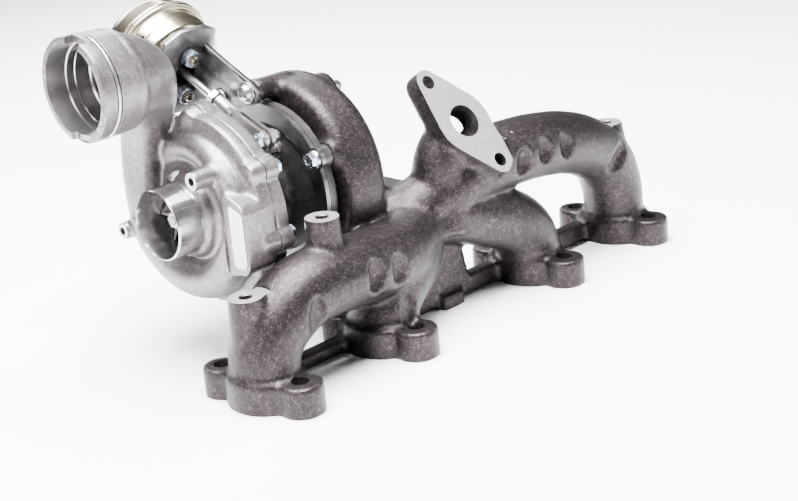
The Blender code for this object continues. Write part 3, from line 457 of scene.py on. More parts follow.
castIronLook = {"metallic": 0.85, "grain": 0.00085, "blotch": 0.05, "edge": (0.53, 0.62), "edgeWearAndHighlight": 0.45,
                "dark": (0.0085, 0.0066, 0.0071), "main": (0.031, 0.0250, 0.0265),
                "light": (0.19, 0.157, 0.166), "patchiness": 0.3, "depth": 0.00022, "bite": 0.6,
                "roughness": 0.42}
darkIronLook = {"metallic": 0.6, "grain": 0.0010, "blotch": 0.02, "edge": (0.52, 0.62), "edgeWearAndHighlight": 0.35,
                "dark": (0.012, 0.011, 0.011), "main": (0.030, 0.028, 0.027), "light": (0.10, 0.095, 0.09),
                "patchiness": 0.4, "depth": 0.00016, "bite": 0.6, "roughness": 0.42}
castAluminiumLook = {"metallic": 0.85, "grain": 0.00085, "blotch": 0.03, "edge": (0.53, 0.63), "edgeWearAndHighlight": 0.4,
                     "dark": (0.080, 0.071, 0.076), "main": (0.19, 0.170, 0.180),
                     "light": (0.46, 0.425, 0.44), "patchiness": 0.25, "depth": 0.00014, "bite": 0.6,
                     "roughness": 0.38}
machinedLook = {"metallic": 0.95, "centre": shaft * mm, "flatten": (0, 1, 1), "pitch": 9000.0,
                "light": (0.56, 0.54, 0.56), "dark": (0.24, 0.225, 0.235), "roughness": 0.12}
socketCentre = Vector((0, 60, 175.6))
socketLook = dict(machinedLook, centre=socketCentre * mm)
ironFaceLook = dict(machinedLook, centre=Vector((11.5, -11, 115)) * mm, flatten=(1, 1, 1), pitch=7000.0,
                    light=(0.42, 0.395, 0.39), dark=(0.26, 0.24, 0.235), roughness=0.34, metallic=0.75)
steelLook = {"metallic": 1.0, "drift": 0.012, "first": (0.42, 0.40, 0.38), "second": (0.55, 0.53, 0.51),
             "third": (0.62, 0.60, 0.58), "dark": (0.2, 0.19, 0.18), "haze": 0.35, "roughness": 0.22}
blueLook = {"metallic": 1.0, "drift": 0.004, "first": (0.36, 0.50, 0.66), "second": (0.55, 0.60, 0.68),
            "third": (0.62, 0.56, 0.62), "dark": (0.2, 0.24, 0.30), "haze": 0.25, "roughness": 0.16}
yellowLook = {"metallic": 1.0, "drift": 0.022, "first": (0.50, 0.47, 0.39), "second": (0.44, 0.40, 0.29),
              "third": (0.42, 0.38, 0.365), "dark": (0.5, 0.46, 0.36), "haze": 0.15, "roughness": 0.13}
bracketLook = {"metallic": 1.0, "drift": 0.010, "first": (0.10, 0.095, 0.095), "second": (0.16, 0.155, 0.155),
               "third": (0.24, 0.23, 0.225), "dark": (0.05, 0.048, 0.046), "haze": 0.45, "roughness": 0.24}
alloyLook = {"metallic": 1.0, "drift": 0.008, "first": (0.30, 0.26, 0.24), "second": (0.40, 0.36, 0.33),
             "third": (0.46, 0.42, 0.40), "dark": (0.12, 0.10, 0.09), "haze": 0.4, "roughness": 0.30}
bronzeLook = {"metallic": 1.0, "drift": 0.01, "first": (0.50, 0.32, 0.14), "second": (0.60, 0.41, 0.20),
              "third": (0.66, 0.48, 0.26), "dark": (0.2, 0.12, 0.05), "haze": 0.3, "roughness": 0.25}
rubberLook = {"grain": 0.0012, "dark": (0.012, 0.012, 0.012), "light": (0.035, 0.035, 0.034),
              "roughness": 0.6}
stickerLook = {"grain": 0.0035, "dark": (0.74, 0.74, 0.72), "light": (0.88, 0.88, 0.87), "roughness": 0.35}

castIron = castSkin("castIron", castIronLook)
darkIron = castSkin("darkIron", darkIronLook)
castAluminium = castSkin("castAluminium", castAluminiumLook)
machinedAluminium = machinedSkin("machinedAluminium", machinedLook)
machinedSocket = machinedSkin("machinedSocket", socketLook)
machinedIron = machinedSkin("machinedIron", ironFaceLook)
turnedSteel = platedSkin("turnedSteel", steelLook)
blueZinc = platedSkin("blueZinc", blueLook)
yellowZinc = platedSkin("yellowZinc", yellowLook)
bracketSteel = platedSkin("bracketSteel", bracketLook)
hotAlloy = platedSkin("hotAlloy", alloyLook)
bearingBronze = platedSkin("bearingBronze", bronzeLook)
blackRubber = softSkin("blackRubber", rubberLook)
paleSticker = softSkin("paleSticker", stickerLook)
print("finishes ready")


# the exhaust manifold, cast in one with the turbine housing

manifold = {"skin": 1.5, "softening": 5, "flangeDepth": 17, "wall": 5.5, "studHole": 5.0,
            "ports": (-154, -66, 66, 154), "portLine": -7,
            "ears": ((1.7, -27, 12.5), (-8, 27, 11)), "screwHole": 3.4}
runners = (
    ([(-154, -7, 2), (-154, -7, 18), (-150, -7, 33), (-139, -8, 45), (-122, -9, 53), (-98, -10, 54),
      (-72, -9, 52), (-48, -6, 51), (-30, 2, 54), (-18, 10, 60)], (18.5, 19.5, 20.5, 21, 20.5, 19)),
    ([(-66, -7, 2), (-65, -7, 15), (-57, -7, 29), (-44, -5, 39), (-31, 0, 48), (-22, 8, 58)],
     (18.5, 19, 19.5, 19)),
    ([(66, -7, 2), (66, -7, 16), (60, -7, 31), (46, -6, 43), (28, -3, 51), (10, 0, 57), (-6, 3, 60)],
     (18.5, 20, 20, 18)),
    ([(154, -7, 2), (154, -7, 20), (151, -7, 40), (141, -8, 57), (124, -9, 69), (102, -10, 78),
      (78, -10, 83), (54, -9, 85), (32, -6, 84), (12, -1, 78), (-4, 3, 70)], (18.5, 19.5, 20, 20.5, 19)),
)
runnerFlat = 1.07        # the runners are a little wider than high
screwPosts = ((-160, -6, 8, 61.5, 11.5, 9.8), (-104, -9, 62, 90, 10.6, 9.8), (150, -7, 50, 79, 15, 9.5))
flangeNeck = [(-4, 2, 52), (-2, 1, 66), (-1, 1, 80), (0, 0, 92), (4, -2, 102), (9, -6, 109)]
duct = [(-10, 0, 60), (-26, 16, 60), (-38, 34, 59), (-47, 50, 59)]
recirculation = {"centre": Vector((11.5, -11, 115)), "out": Vector((0, -0.83, 0.557)).normalized(),
                 "along": Vector((-0.36, 0.52, 0.775)), "lobes": ((0, 20.5), (31, 8.5), (-31, 8.5)),
                 "reach": 31, "depth": 13, "bore": 10.2, "hole": 4.3}
turbine = {"back": -71, "front": -40, "lugs": (152, 225, 300, 15), "lugRadius": 48.5,
           "bracketLugs": ((2, 57.5), (28, 50.5)), "studs": (90, 210, 330), "studRadius": 46}
# each hollow is (x, y, z) on the skin and its half widths, with a lean in degrees
hollows = (((-87.5, -29.5, 55), (6.8, 5, 12), 6), ((-68.5, -29, 52), (6.6, 5, 11.5), -4),
           ((-131, -28.5, 43), (6.2, 5, 14), 0), ((-62.3, -27, 26), (6.5, 5, 12), 0),
           ((42.2, -27, 83), (6, 4.5, 10), 4), ((59.9, -29, 88), (6, 4.5, 10), 0),
           ((79.6, -29.5, 86), (6, 4.5, 10), -4), ((130, -27.5, 57), (7, 5, 19), 38))


def portFlange(x):
    look = manifold
    parts = [addRod("flange", (x, look["portLine"], -2), (x, look["portLine"], look["flangeDepth"]), 21.5,
                    oval=24 / 21.5)]
    for dx, dy, radius in look["ears"]:
        y = look["portLine"] + dy
        parts.append(addRod("ear", (x + dx, y, -2), (x + dx, y, look["flangeDepth"]), radius))
    return parts


def manifoldShape():
    parts = [addPipe("collector", [(12, -1, 78), (-4, 3, 70), (-22, 10, 62)], (19, 20, 19)),
             addBlock("ductBlock", (-52, 10, 45), (-6, 50, 80), 6)]
    for x in manifold["ports"]:
        parts += portFlange(x)
    parts += [addPipe("runner", points, radii, runnerFlat) for points, radii in runners]
    parts.append(addBlock("strap", (-136, 1, 0.5), (-84, 12, 9)))
    parts.append(addBlock("strap", (16, 1, 0.5), (140, 12, 13)))
    parts.append(addPlate("web", [(-50, 1.5, 0.5), (17.5, 1.5, 0.5), (20, 1.5, 13.5), (14, 1.5, 40),
                                  (2, 1.5, 50), (-40, 1.5, 50)], (0, 8, 0)))
    parts.append(addBlock("datumPad", (-9, -4, -2), (9, 9, 8)))
    for x, y, low, high, foot, top in screwPosts:
        parts.append(addRod("post", (x, y, low), (x, y, high + 2), foot, top))
    neck = addPipe("neck", flangeNeck, (22, 18, 17, 15.5, 14))
    face = recirculation
    long = acrossFace()
    rear, rise = face["out"] * -face["depth"], face["out"] * 2
    plates = []
    for reach, radius in face["lobes"]:
        spot = face["centre"] + long * reach
        plates.append(addRod("lobe", spot + rear, spot + rise, radius))
    parts += [neck, hulled("recirculationFlange", plates)]
    parts.append(addPipe("duct", duct, (20, 20.5, 21, 21)))
    back, front = turbine["back"], turbine["front"]
    shell = rounded([(back, 0), (back, 56.5), (back + 4, 59.5), (front - 8, 60.5), (front - 2, 57),
                     (front, 50), (front, 0)], 3)
    swell = Matrix.Translation((shaft + Vector((0, 0.9, 1.55))) * mm)
    parts.append(turned("turbineShell", shell, swell, 128))
    for angle in turbine["lugs"]:
        parts.append(addRod("lug", about(angle, turbine["lugRadius"], back - 3),
                            about(angle, turbine["lugRadius"], back + 14), 8.3))
    for y, z in turbine["bracketLugs"]:
        spot = shaft + Vector((0, y, z))
        parts.append(addRod("bracketLug", spot + Vector((-84.8, 0, 0)), spot + Vector((-58, 0, 0)), 6.5))
    studs = [addRod("studLobe", about(angle, turbine["studRadius"], front - 8),
                    about(angle, turbine["studRadius"], -30), 11) for angle in turbine["studs"]]
    parts.append(hulled("outletFlange", studs))
    return parts


def acrossFace():
    # the line through the recirculation flange's bolts, laid into its face
    face = recirculation
    return (face["along"] - face["out"] * face["along"].dot(face["out"])).normalized()


def manifoldHoles():
    look, face, wall, long = manifold, recirculation, manifold["wall"], acrossFace()
    cutters = []
    for points, radii in runners:
        start = [(points[0][0], points[0][1], -4)] + points[1:]
        cutters.append(addPipe("gasWay", start, [r - wall for r in radii], runnerFlat))
    cutters.append(addPipe("gasWay", duct[:3] + [(-52, 52, 62)], (13, 14, 13.5, 7)))
    inner = [face["centre"] + face["out"] * 3, face["centre"] - face["out"] * 10.4]
    cutters.append(addPipe("gasWay", inner + [Vector(p) for p in reversed(flangeNeck[:4])],
                           (face["bore"], face["bore"])))
    for reach, depth in ((face["reach"], 24), (-face["reach"], 18)):
        spot = face["centre"] + long * reach
        cutters.append(addRod("boltHole", spot + face["out"] * 3, spot - face["out"] * depth, face["hole"]))
    # what the mill takes off: the recirculation face and the tops of the posts
    lobes = []
    for reach, radius in face["lobes"]:
        spot = face["centre"] + long * reach
        lobes.append(addRod("lobe", spot, spot + face["out"] * 6, radius + 1.2))
    cutters.append(hulled("faceCut", lobes))
    for x, y, low, high, foot, top in screwPosts:
        cutters.append(addRod("topCut", (x, y, high), (x, y, high + 6), 14))
        cutters.append(addRod("screwHole", (x, y, high - 16), (x, y, high + 3), look["screwHole"]))
        cutters.append(addRod("countersink", (x, y, high - 1.2), (x, y, high + 1.2), look["screwHole"] - 0.6,
                              look["screwHole"] + 1.8))
    for x in look["ports"]:
        for dx, dy, radius in look["ears"]:
            spot = Vector((x + dx, look["portLine"] + dy, 0))
            cutters.append(addRod("studHole", spot + Vector((0, 0, -3)), spot + Vector((0, 0, 57)),
                                  look["studHole"]))
    back, front = turbine["back"], turbine["front"]
    cutters.append(turned("chamber", [(back - 8, 0), (back - 8, 43.5), (back + 9, 43.5), (back + 9, 50),
                                      (back + 20, 50), (back + 22, 46), (back + 22, 22.4), (front - 3, 21.8),
                                      (-27, 28), (-27, 0)]))
    for angle in turbine["lugs"]:
        cutters.append(addRod("lugHole", about(angle, turbine["lugRadius"], back - 8),
                              about(angle, turbine["lugRadius"], back + 7), 3.4))
    for y, z in turbine["bracketLugs"]:
        spot = shaft + Vector((0, y, z))
        cutters.append(addRod("lugHole", spot + Vector((-90, 0, 0)), spot + Vector((-73, 0, 0)), 3.3))
    for angle in turbine["studs"]:
        cutters.append(addRod("studHole", about(angle, turbine["studRadius"], front + 1),
                              about(angle, turbine["studRadius"], -26), 4.4))
    return cutters


def milledIron(place, normal):
    face = recirculation
    offset = place - face["centre"]
    if offset.length < 42 and abs(offset.dot(face["out"])) < 0.05 and normal.dot(face["out"]) > 0.9:
        return True
    if place.z < 0.05 and normal.z < -0.9:
        return True
    if -31 < place.x < -29.5 and normal.x > 0.95 and math.hypot(place.y - shaft.y, place.z - shaft.z) < 58:
        return True
    return any(abs(place.z - high) < 0.05 and normal.z > 0.9 and math.hypot(place.x - x, place.y - y) < 14
               for x, y, low, high, foot, top in screwPosts)


manifoldPiece = cast("manifoldCasting", manifoldShape(), manifold)
sunk = Vector((0, -1.6, 0))
carve(manifoldPiece, [addBall("scoop", Vector(place) + sunk, radii, lean) for place, radii, lean in hollows])
useModifier(manifoldPiece, "REMESH", mode="VOXEL", voxel_size=manifold["skin"] * mm)
useModifier(manifoldPiece, "SMOOTH", factor=0.5, iterations=2)
sliceOff(manifoldPiece, (0, 0, 0), (0, 0, -1))
carve(manifoldPiece, manifoldHoles())
dress(smoothShade(manifoldPiece), castIron, "housing", "exhaust_manifold")
mill(manifoldPiece, machinedIron, milledIron)
print("manifold done,", len(manifoldPiece.data.polygons), "faces")


# the compressor housing, its outlet neck and hose socket

compressor = {"skin": 1.25, "softening": 6, "inletEnd": -164, "rim": -124.35, "voluteTurn": (42, 352),
              "voluteRadius": 38, "voluteSize": (6.5, 14.2), "wall": 3.4, "inletRadius": 20.3,
              "socketRadius": 28.4, "screws": ((-26, 27.5, 5.2), (47, -14, 4.8)),
              "bolts": (85, 148, 192, 252, 308), "boltRadius": 50.5, "lobeRadius": 51.5}
outletNeck = [(-139.5, 97.5, 84), (-139.5, 98.5, 100), (-139.5, 98, 114), (-139.5, 95, 130), (-142, 86, 148),
              (-150, 74, 162), (-162, 64.5, 171.5), (-175, 60.5, 175.2), (-183, 60, 175.6)]
outletSizes = (13.8, 13.8, 13.6, 13.8, 15.2, 18.2, 22.2, 25.2, 25.4)
socketFrame = Matrix.Translation(socketCentre * mm)
spotFace = Vector((-140.6, 71.2, 110.9))


def voluteWay(shrink=0.0):
    look, points, sizes = compressor, [], []
    for k in range(19):
        share = k / 18
        size = look["voluteSize"][0] + (look["voluteSize"][1] - look["voluteSize"][0]) * share
        angle = look["voluteTurn"][0] + (look["voluteTurn"][1] - look["voluteTurn"][0]) * share
        points.append(about(angle, look["voluteRadius"], -126 - size + shrink / 2))
        sizes.append(size - shrink)
    return addPipe("volute", points, sizes, fine=8)


def compressorShape():
    look = compressor
    body = [(-161, 0), (-161, 19.4), (-147, 20.4), (-144.5, 23.6), (-141, 24), (-139.6, 28), (-136.5, 36),
            (-134, 46), (-131, 54.6), (look["rim"] + 1.5, 55), (look["rim"] + 1.5, 0)]
    parts = [turned("body", body), voluteWay(), addPipe("neck", outletNeck, outletSizes)]
    for y, z, radius in look["screws"]:
        spot = shaft + Vector((0, y, z))
        parts.append(addRod("screwBoss", spot + Vector((-157, 0, 0)), spot + Vector((-130, 0, 0)), radius,
                            radius + 1.4))
    for angle in look["bolts"] + (22,):
        parts.append(addRod("boltLobe", about(angle, look["lobeRadius"], -133),
                            about(angle, look["lobeRadius"], look["rim"] + 1.5), 6, 7.8))
    pad = [(-54.5, -21), (-51, -25), (-38, -27), (-38, 20), (-51, 15), (-54.5, 11)]
    parts.append(addPlate("labelPad", [(-146.4, shaft.y + y, shaft.z + z) for y, z in pad], (20, 0, 0)))
    socket = [(-195, 0), (-195, 27.2), (-176, 27.6), (-171, 24), (-171, 0)]
    parts.append(turned("socketBody", socket, socketFrame))
    return parts


def compressorHoles():
    look = compressor
    inlet, rim = look["inletEnd"], look["rim"]
    cutters = [turned("rimCut", [(rim, 0), (rim, 70), (rim + 6, 70), (rim + 6, 0)]),
               addBlock("padCut", (-150, shaft.y - 60, shaft.z - 32), (-145.6, shaft.y - 36, shaft.z + 24))]
    way = rounded([(inlet - 4, 0), (inlet - 4, 21), (inlet + 1, 18.9), (inlet + 9, 17.7), (-141, 17.6),
                   (-136, 19.4), (-132, 22.6), (-129.6, 25.4), (-129.6, 36), (-127.6, 44), (-120, 45),
                   (-120, 0)], 1.2)
    cutters += [turned("wheelRoom", way), voluteWay(look["wall"]),
                addPipe("airWay", outletNeck, [size - look["wall"] for size in outletSizes])]
    socket = [(-207, 0), (-207, 25.4), (-202.4, 24.6), (-191, 24.2), (-190.6, 23.4), (-186, 23.3),
              (-185.6, 23.0), (-177, 22.8), (-176, 21), (-176, 0)]
    cutters.append(turned("socketBore", socket, socketFrame))
    # the scallop at the top of the rim and the slot that the clip's ends pass through
    cutters.append(addBlock("slot", (-206, 51, 147), (-199.5, 68, 154), 1.2))
    cutters.append(addRod("scallop", (-206, 54, 202.2), (-198, 54, 202.2), 6.5))
    for y, z, radius in look["screws"]:
        spot = shaft + Vector((0, y, z))
        cutters.append(addRod("bossCut", spot + Vector((-162, 0, 0)), spot + Vector((-156, 0, 0)), 9))
        cutters.append(addRod("screwHole", spot + Vector((-160, 0, 0)), spot + Vector((-144, 0, 0)), 2.5))
    for angle in look["bolts"]:
        cutters.append(addRod("boltHole", about(angle, look["boltRadius"], rim - 4.8),
                              about(angle, look["boltRadius"], rim + 4), 3.2))
    cutters.append(addRod("spotFace", spotFace - Vector((6.4, 0, 0)), spotFace, 7.5))
    return cutters


def milledAluminium(place, normal):
    # the intake tube and its bore, the rim, the tops of the screw bosses and the spot face
    away = math.hypot(place.y - shaft.y, place.z - shaft.z)
    if away < 20.45 and place.x < -145.2:
        return True
    if away < 26 and place.x > -141 and normal.x >= 0:
        return True
    if place.x > compressor["rim"] - 0.05:
        return True
    if abs(place.x + 156) < 0.05 and normal.x < -0.9:
        return True
    return abs(place.x - spotFace.x) < 0.05 and normal.x < -0.9 and (place - spotFace).length < 8


def milledSocket(place, normal):
    return place.x < -176.5 and math.hypot(place.y - socketCentre.y, place.z - socketCentre.z) < 25.6


compressorPiece = cast("compressorCasting", compressorShape(), compressor)
tube, socket = compressor["inletRadius"], compressor["socketRadius"]
tubeOutline = [(-164, 0), (-164, tube - 0.9), (-163.1, tube), (-145.6, tube), (-144.4, tube + 0.9),
               (-144.4, 0)]
inletTube = turned("inletTube", rounded(tubeOutline, 0.5), sides=128)
# the rim has a groove for the spring clip
rimOutline = [(-203, 0), (-203, socket - 0.9), (-202.1, socket), (-195, socket), (-195, socket - 2),
              (-192, socket - 2), (-192, socket), (-191.4, socket), (-189, 28.2), (-180, 27.8), (-180, 0)]
socketRim = turned("socketRim", rounded(rimOutline, 0.4), socketFrame, 128)
carve(compressorPiece, [inletTube, socketRim], "UNION")
carve(compressorPiece, compressorHoles())
dress(smoothShade(compressorPiece), castAluminium, "housing", "compressor_housing")
mill(compressorPiece, machinedAluminium, milledAluminium)
mill(compressorPiece, machinedSocket, milledSocket)
print("compressor housing done,", len(compressorPiece.data.polygons), "faces")


# the compressor backplate and the centre housing

backplate = {"skin": 0.9, "softening": 3, "back": -115, "front": -124, "lobes": (85, 148, 192, 252, 308, 22)}
middleHousing = {"skin": 1.0, "softening": 3, "ribs": (20, 120, 250, 320), "crankHole": 4.4}


def backplateShape():
    look = backplate
    parts = [turned("disc", rounded([(look["front"] - 1, 0), (look["front"] - 1, 55), (look["back"], 55),
                                     (look["back"], 0)], 1.5))]
    for angle in look["lobes"]:
        parts.append(addRod("lobe", about(angle, compressor["lobeRadius"], look["front"] - 1),
                            about(angle, compressor["lobeRadius"], look["back"]), 7.9))
    return parts


backplatePiece = cast("backplate", backplateShape(), backplate)
plateCuts = [turned("faceCut", [(-128, 0), (-128, 70), (backplate["front"], 70), (backplate["front"], 0)]),
             turned("bore", [(-128, 0), (-128, 10.4), (-117.2, 10.4), (-117.2, 37), (-112, 37), (-112, 0)])]
plateCuts += [addRod("boltHole", about(angle, compressor["boltRadius"], -128),
                     about(angle, compressor["boltRadius"], -110), 3.3) for angle in compressor["bolts"]]
carve(backplatePiece, plateCuts)
dress(smoothShade(backplatePiece), castAluminium, "housing", "compressor_backplate")

centreParts = [turned("core", rounded([(-114.6, 0), (-114.6, 36), (-110.5, 36), (-108.5, 23), (-90, 20),
                                       (-84.5, 21), (-79, 38), (-79, 42.7), (-66, 42.7), (-66, 0)], 2)),
               addRod("oilInlet", (-98, 68, 100), (-98, 68, 119), 9, 8.5),
               addRod("oilDrain", (-96, 60, 52), (-96, 60, 78), 10.5),
               addRod("drainFlange", (-96, 60, 52), (-96, 60, 58), 13.4)]
for angle in middleHousing["ribs"]:
    ribTurn = (Matrix.Translation(shaft * mm) @ Matrix.Rotation(math.radians(angle), 4, "X")
               @ Matrix.Translation(-shaft * mm))
    centreParts.append(addPlate("rib", [(-109, 60, 88.5), (-83, 60, 88.5), (-83, 86, 88.5), (-109, 84, 88.5)],
                                (0, 0, 3), matrix=ribTurn))
centrePiece = cast("centreHousing", centreParts, middleHousing)
shaftBore = [(-120, 0), (-120, 17), (-111.5, 17), (-111.5, 8.2), (-75, 8.2), (-75, 6), (-72.6, 6),
             (-72.6, 9.2), (-60, 9.2), (-60, 0)]
centreCuts = [turned("bore", shaftBore),
              turned("recess", [(-73, 24), (-73, 41.4), (-60, 41.4), (-60, 24), (-73, 24)]),
              addRod("oilHole", (-98, 68, 92), (-98, 68, 124), 3),
              addRod("drainHole", (-96.2, 60.3, 46), (-96.2, 60.3, 85.5), 6.4),
              addRod("crankHole", (-86, *crank.yz), (-60, *crank.yz), middleHousing["crankHole"])]
carve(centrePiece, centreCuts)
dress(smoothShade(centrePiece), darkIron, "housing", "centre_housing")
print("backplate and centre housing done")


# bolts, nuts and studs: each kind is made once and copied

def hexHead(name, across, seat, top, bore=0.0):
    # a hex body along X with its corners turned down
    body = addRod(name, (seat, 0, 0), (top, 0, 0), across / math.sqrt(3), sides=6)
    useModifier(body, "BEVEL", width=0.12 * mm, segments=2)
    low, high = min(seat, top), max(seat, top)
    corner = across / math.sqrt(3)
    turnedShape = turned("corners", [(low - 0.01, 0), (low - 0.01, corner - 0.7), (low + 0.45, corner),
                                     (high - 0.45, corner), (high + 0.01, corner - 0.7), (high + 0.01, 0)],
                         Matrix.Identity(4), 48)
    carve(body, [turnedShape], "INTERSECT")
    if bore:
        carve(body, [addRod("thread", (low - 1, 0, 0), (high + 1, 0, 0), bore, sides=32)])
    return body


def flangedBolt(name, across, shank, length):
    # head towards -X, seat at x = 0
    head = hexHead(name, across, 0, -across * 0.62)
    rim = [(-1.3, 0), (-1.3, across * 0.58), (-0.2, across * 0.66), (0, across * 0.66), (0, 0)]
    washer = turned("washer", rounded(rim, 0.2), Matrix.Identity(4), 48)
    stem = turned("stem", [(-1, 0), (-1, shank), (length - 0.5, shank), (length, shank - 0.5), (length, 0)],
                  Matrix.Identity(4), 32)
    dish = addBall("dish", (-across * 0.62 - 0.6, 0, 0), (1.3, across * 0.32, across * 0.32))
    carve(head, [washer, stem], "UNION")
    carve(head, [dish])
    return smoothShade(head, 25)


def copyTo(model, name, matrix, finish, node):
    pickOnly(model)
    bpy.ops.object.duplicate()
    obj = bpy.context.object
    obj.name = name
    return dress(settle(obj, matrix), finish, "housing", node)


def facing(place, flip=False):
    turn = Matrix.Rotation(math.pi, 4, "Z") if flip else Matrix.Identity(4)
    return Matrix.Translation(Vector(place) * mm) @ turn


smallBolt = flangedBolt("smallBolt", 8.0, 2.7, 12)
for number, angle in enumerate(turbine["lugs"], 1):
    place = about(angle, turbine["lugRadius"], -82.55)
    copyTo(smallBolt, f"clampBolt{number}", facing(place), blueZinc, f"clamp_bolt_{number}")
for number, angle in enumerate(compressor["bolts"], 1):
    place = about(angle, compressor["boltRadius"], -114.65)
    copyTo(smallBolt, f"compressorBolt{number}", facing(place, flip=True), blueZinc,
           f"compressor_bolt_{number}")
bpy.data.objects.remove(smallBolt)

domeOutline = [(-5.4, 0), (-5.2, 2.2), (-4.2, 4.2), (-1.6, 5.2), (-1.2, 6.4), (0, 6.4), (0, 2.9),
               (11.5, 2.9), (11.9, 2.4), (11.9, 0)]
domedBolt = turned("domedBolt", rounded(domeOutline, 0.5), Matrix.Identity(4), 64)
carve(domedBolt, [addRod("socket", (-6, 0, 0), (-3.4, 0, 0), 1.9, sides=6)])
smoothShade(domedBolt)
for number, (y, z) in enumerate(turbine["bracketLugs"], 1):
    place = shaft + Vector((-88.55, y, z))
    copyTo(domedBolt, f"bracketBolt{number}", facing(place), turnedSteel, f"bracket_bolt_{number}")
bpy.data.objects.remove(domedBolt)

studOutline = [(-38, 0), (-38, 3.8), (-30, 3.8), (-29.5, 3.3), (-28.5, 3.8), (-22, 3.8), (-21, 3.2),
               (-21, 0)]
outletStud = turned("outletStud", studOutline, Matrix.Identity(4), 48)
smoothShade(outletStud)
for number, angle in enumerate(turbine["studs"], 1):
    copyTo(outletStud, f"outletStud{number}", facing(about(angle, turbine["studRadius"])), turnedSteel,
           f"outlet_stud_{number}")
bpy.data.objects.remove(outletStud)
print("fasteners done")


# the vacuum actuator, its bracket and the rod; s runs along the rod from the lever pin

actuator = {"studs": (12.5, -12.5), "vent": 1.5, "plate": 72.6, "sheet": 2.4}
spring = {"first": 95.4, "last": 115.8, "coil": 17.0, "wire": 1.1, "turns": 4, "steps": 24, "keep": 0.66}

canOutline = [(75.4, 7.5), (75.4, 24.5), (79.5, 29.2), (86, 29.7), (87, 30.3), (95.5, 30.2), (95.5, 33.4),
              (97.6, 33.4), (97.6, 31), (97, 29), (80.2, 28), (76.8, 24), (76.8, 7.5), (75.4, 7.5)]
canPiece = turned("actuatorCan", rounded(canOutline, 1.4, 4), rodFrame, 128)
ventSpot = rodFrame @ (Vector((88.5, 21.4, 20.0)) * mm) / mm
ventIn = rodFrame @ (Vector((88.5, 17.0, 15.9)) * mm) / mm
carve(canPiece, [addRod("vent", ventIn, ventSpot + (ventSpot - ventIn), actuator["vent"])])
canStuds = []
for z in actuator["studs"]:
    canStuds.append(turned("canStud", [(65.5, 0), (65.5, 1.9), (66, 2.4), (76.4, 2.4), (76.4, 0)],
                           rodFrame @ Matrix.Translation((0, 0, z * mm)), 40))
carve(canPiece, canStuds, "UNION")
dress(smoothShade(canPiece), yellowZinc, "housing", "actuator_can")

coverOutline = [(98, 29), (98, 32.8), (98.4, 33.4), (99.8, 33.4), (99.8, 30.4), (110, 29.4), (114, 27.5),
                (116.5, 24), (117.2, 18), (118.6, 16), (118.6, 3.3), (117.4, 3.3), (117.4, 15.6),
                (115, 24), (109.5, 28.2), (98, 29)]
coverPiece = turned("actuatorCover", rounded(coverOutline, 1.2, 4), rodFrame, 128)
dress(smoothShade(coverPiece), yellowZinc, "housing", "actuator_cover")

nippleOutline = [(117, 1.4), (117, 2.9), (119, 2.9), (119, 5), (121.5, 4.6), (122, 3.2), (127, 2.7),
                 (128, 3.3), (131, 2.6), (131, 1.4), (117, 1.4)]
nipplePiece = turned("vacuumNipple", rounded(nippleOutline, 0.3), rodFrame, 64)
dress(smoothShade(nipplePiece), yellowZinc, "housing", "vacuum_nipple")

plateOutline = [(92.3, 0), (92.3, 21), (93.5, 22), (97, 22), (97, 20.8), (93.8, 20.2), (93.8, 0)]
platePiece = turned("pistonPlate", rounded(plateOutline, 0.4), rodFrame)
dress(smoothShade(platePiece), turnedSteel, "pull_rod", "piston_plate")
skinOutline = [(90.8, 3.2), (90.8, 23.2), (93, 24.9), (96.5, 24.2), (96.5, 27.2), (97.4, 27.2),
               (97.4, 23), (92, 22.6), (92, 3.2), (90.8, 3.2)]
skinPiece = turned("diaphragm", rounded(skinOutline, 0.3), rodFrame)
dress(smoothShade(skinPiece), blackRubber, "pull_rod", "diaphragm")


def springWire():
    # the middle line of a wire wound about the rod
    look, points = spring, []
    whole = look["turns"] * look["steps"]
    for k in range(whole + 1):
        a = 2 * math.pi * k / look["steps"]
        points.append((look["first"] + (look["last"] - look["first"]) * k / whole, look["coil"] * math.cos(a),
                       look["coil"] * math.sin(a)))
    return points


springPiece = addPipe("returnSpring", springWire(), (spring["wire"], spring["wire"]), fine=3)
settle(springPiece, rodFrame)
dress(smoothShade(springPiece), turnedSteel, "housing", "return_spring")
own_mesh(springPiece)

# the bracket is one folded sheet: a plate across the rod under the can and a web back to the turbine
across = [(-18, -27), (18, -27), (18, 24), (8, 30), (-10, 30), (-18, 26)]
crossPlate = addPlate("bracket", [(actuator["plate"], y, z) for y, z in across], (actuator["sheet"], 0, 0),
                      matrix=rodFrame)
web = [(112, 168), (103, 175), (81, 163.5), (60, 153.5), (53.5, 147.5), (55.5, 141.5), (66, 138.5), (84, 134),
       (95, 133.5), (112, 140), (122, 146)]
webPlate = addPlate("web", [(-88.2, y, z) for y, z in web], (3, 0, 0))
carve(webPlate, [addBlock("trim", (75.0, -80, -60), (130, 80, 60), matrix=rodFrame)])
carve(crossPlate, [webPlate], "UNION")
bracketCuts = [addRod("rodHole", (60, 0, 0), (90, 0, 0), 7.5)]
bracketCuts += [addRod("studHole", (60, 0, z), (90, 0, z), 3) for z in actuator["studs"]]
for cutter in bracketCuts:
    settle(cutter, rodFrame)
for y, z in turbine["bracketLugs"]:
    spot = shaft + Vector((0, y, z))
    bracketCuts.append(addRod("lugHole", spot + Vector((-95, 0, 0)), spot + Vector((-80, 0, 0)), 3.3))
carve(crossPlate, bracketCuts)
useModifier(crossPlate, "BEVEL", width=0.35 * mm, segments=2, angle_limit=math.radians(50))
dress(smoothShade(crossPlate), bracketSteel, "housing", "actuator_bracket")

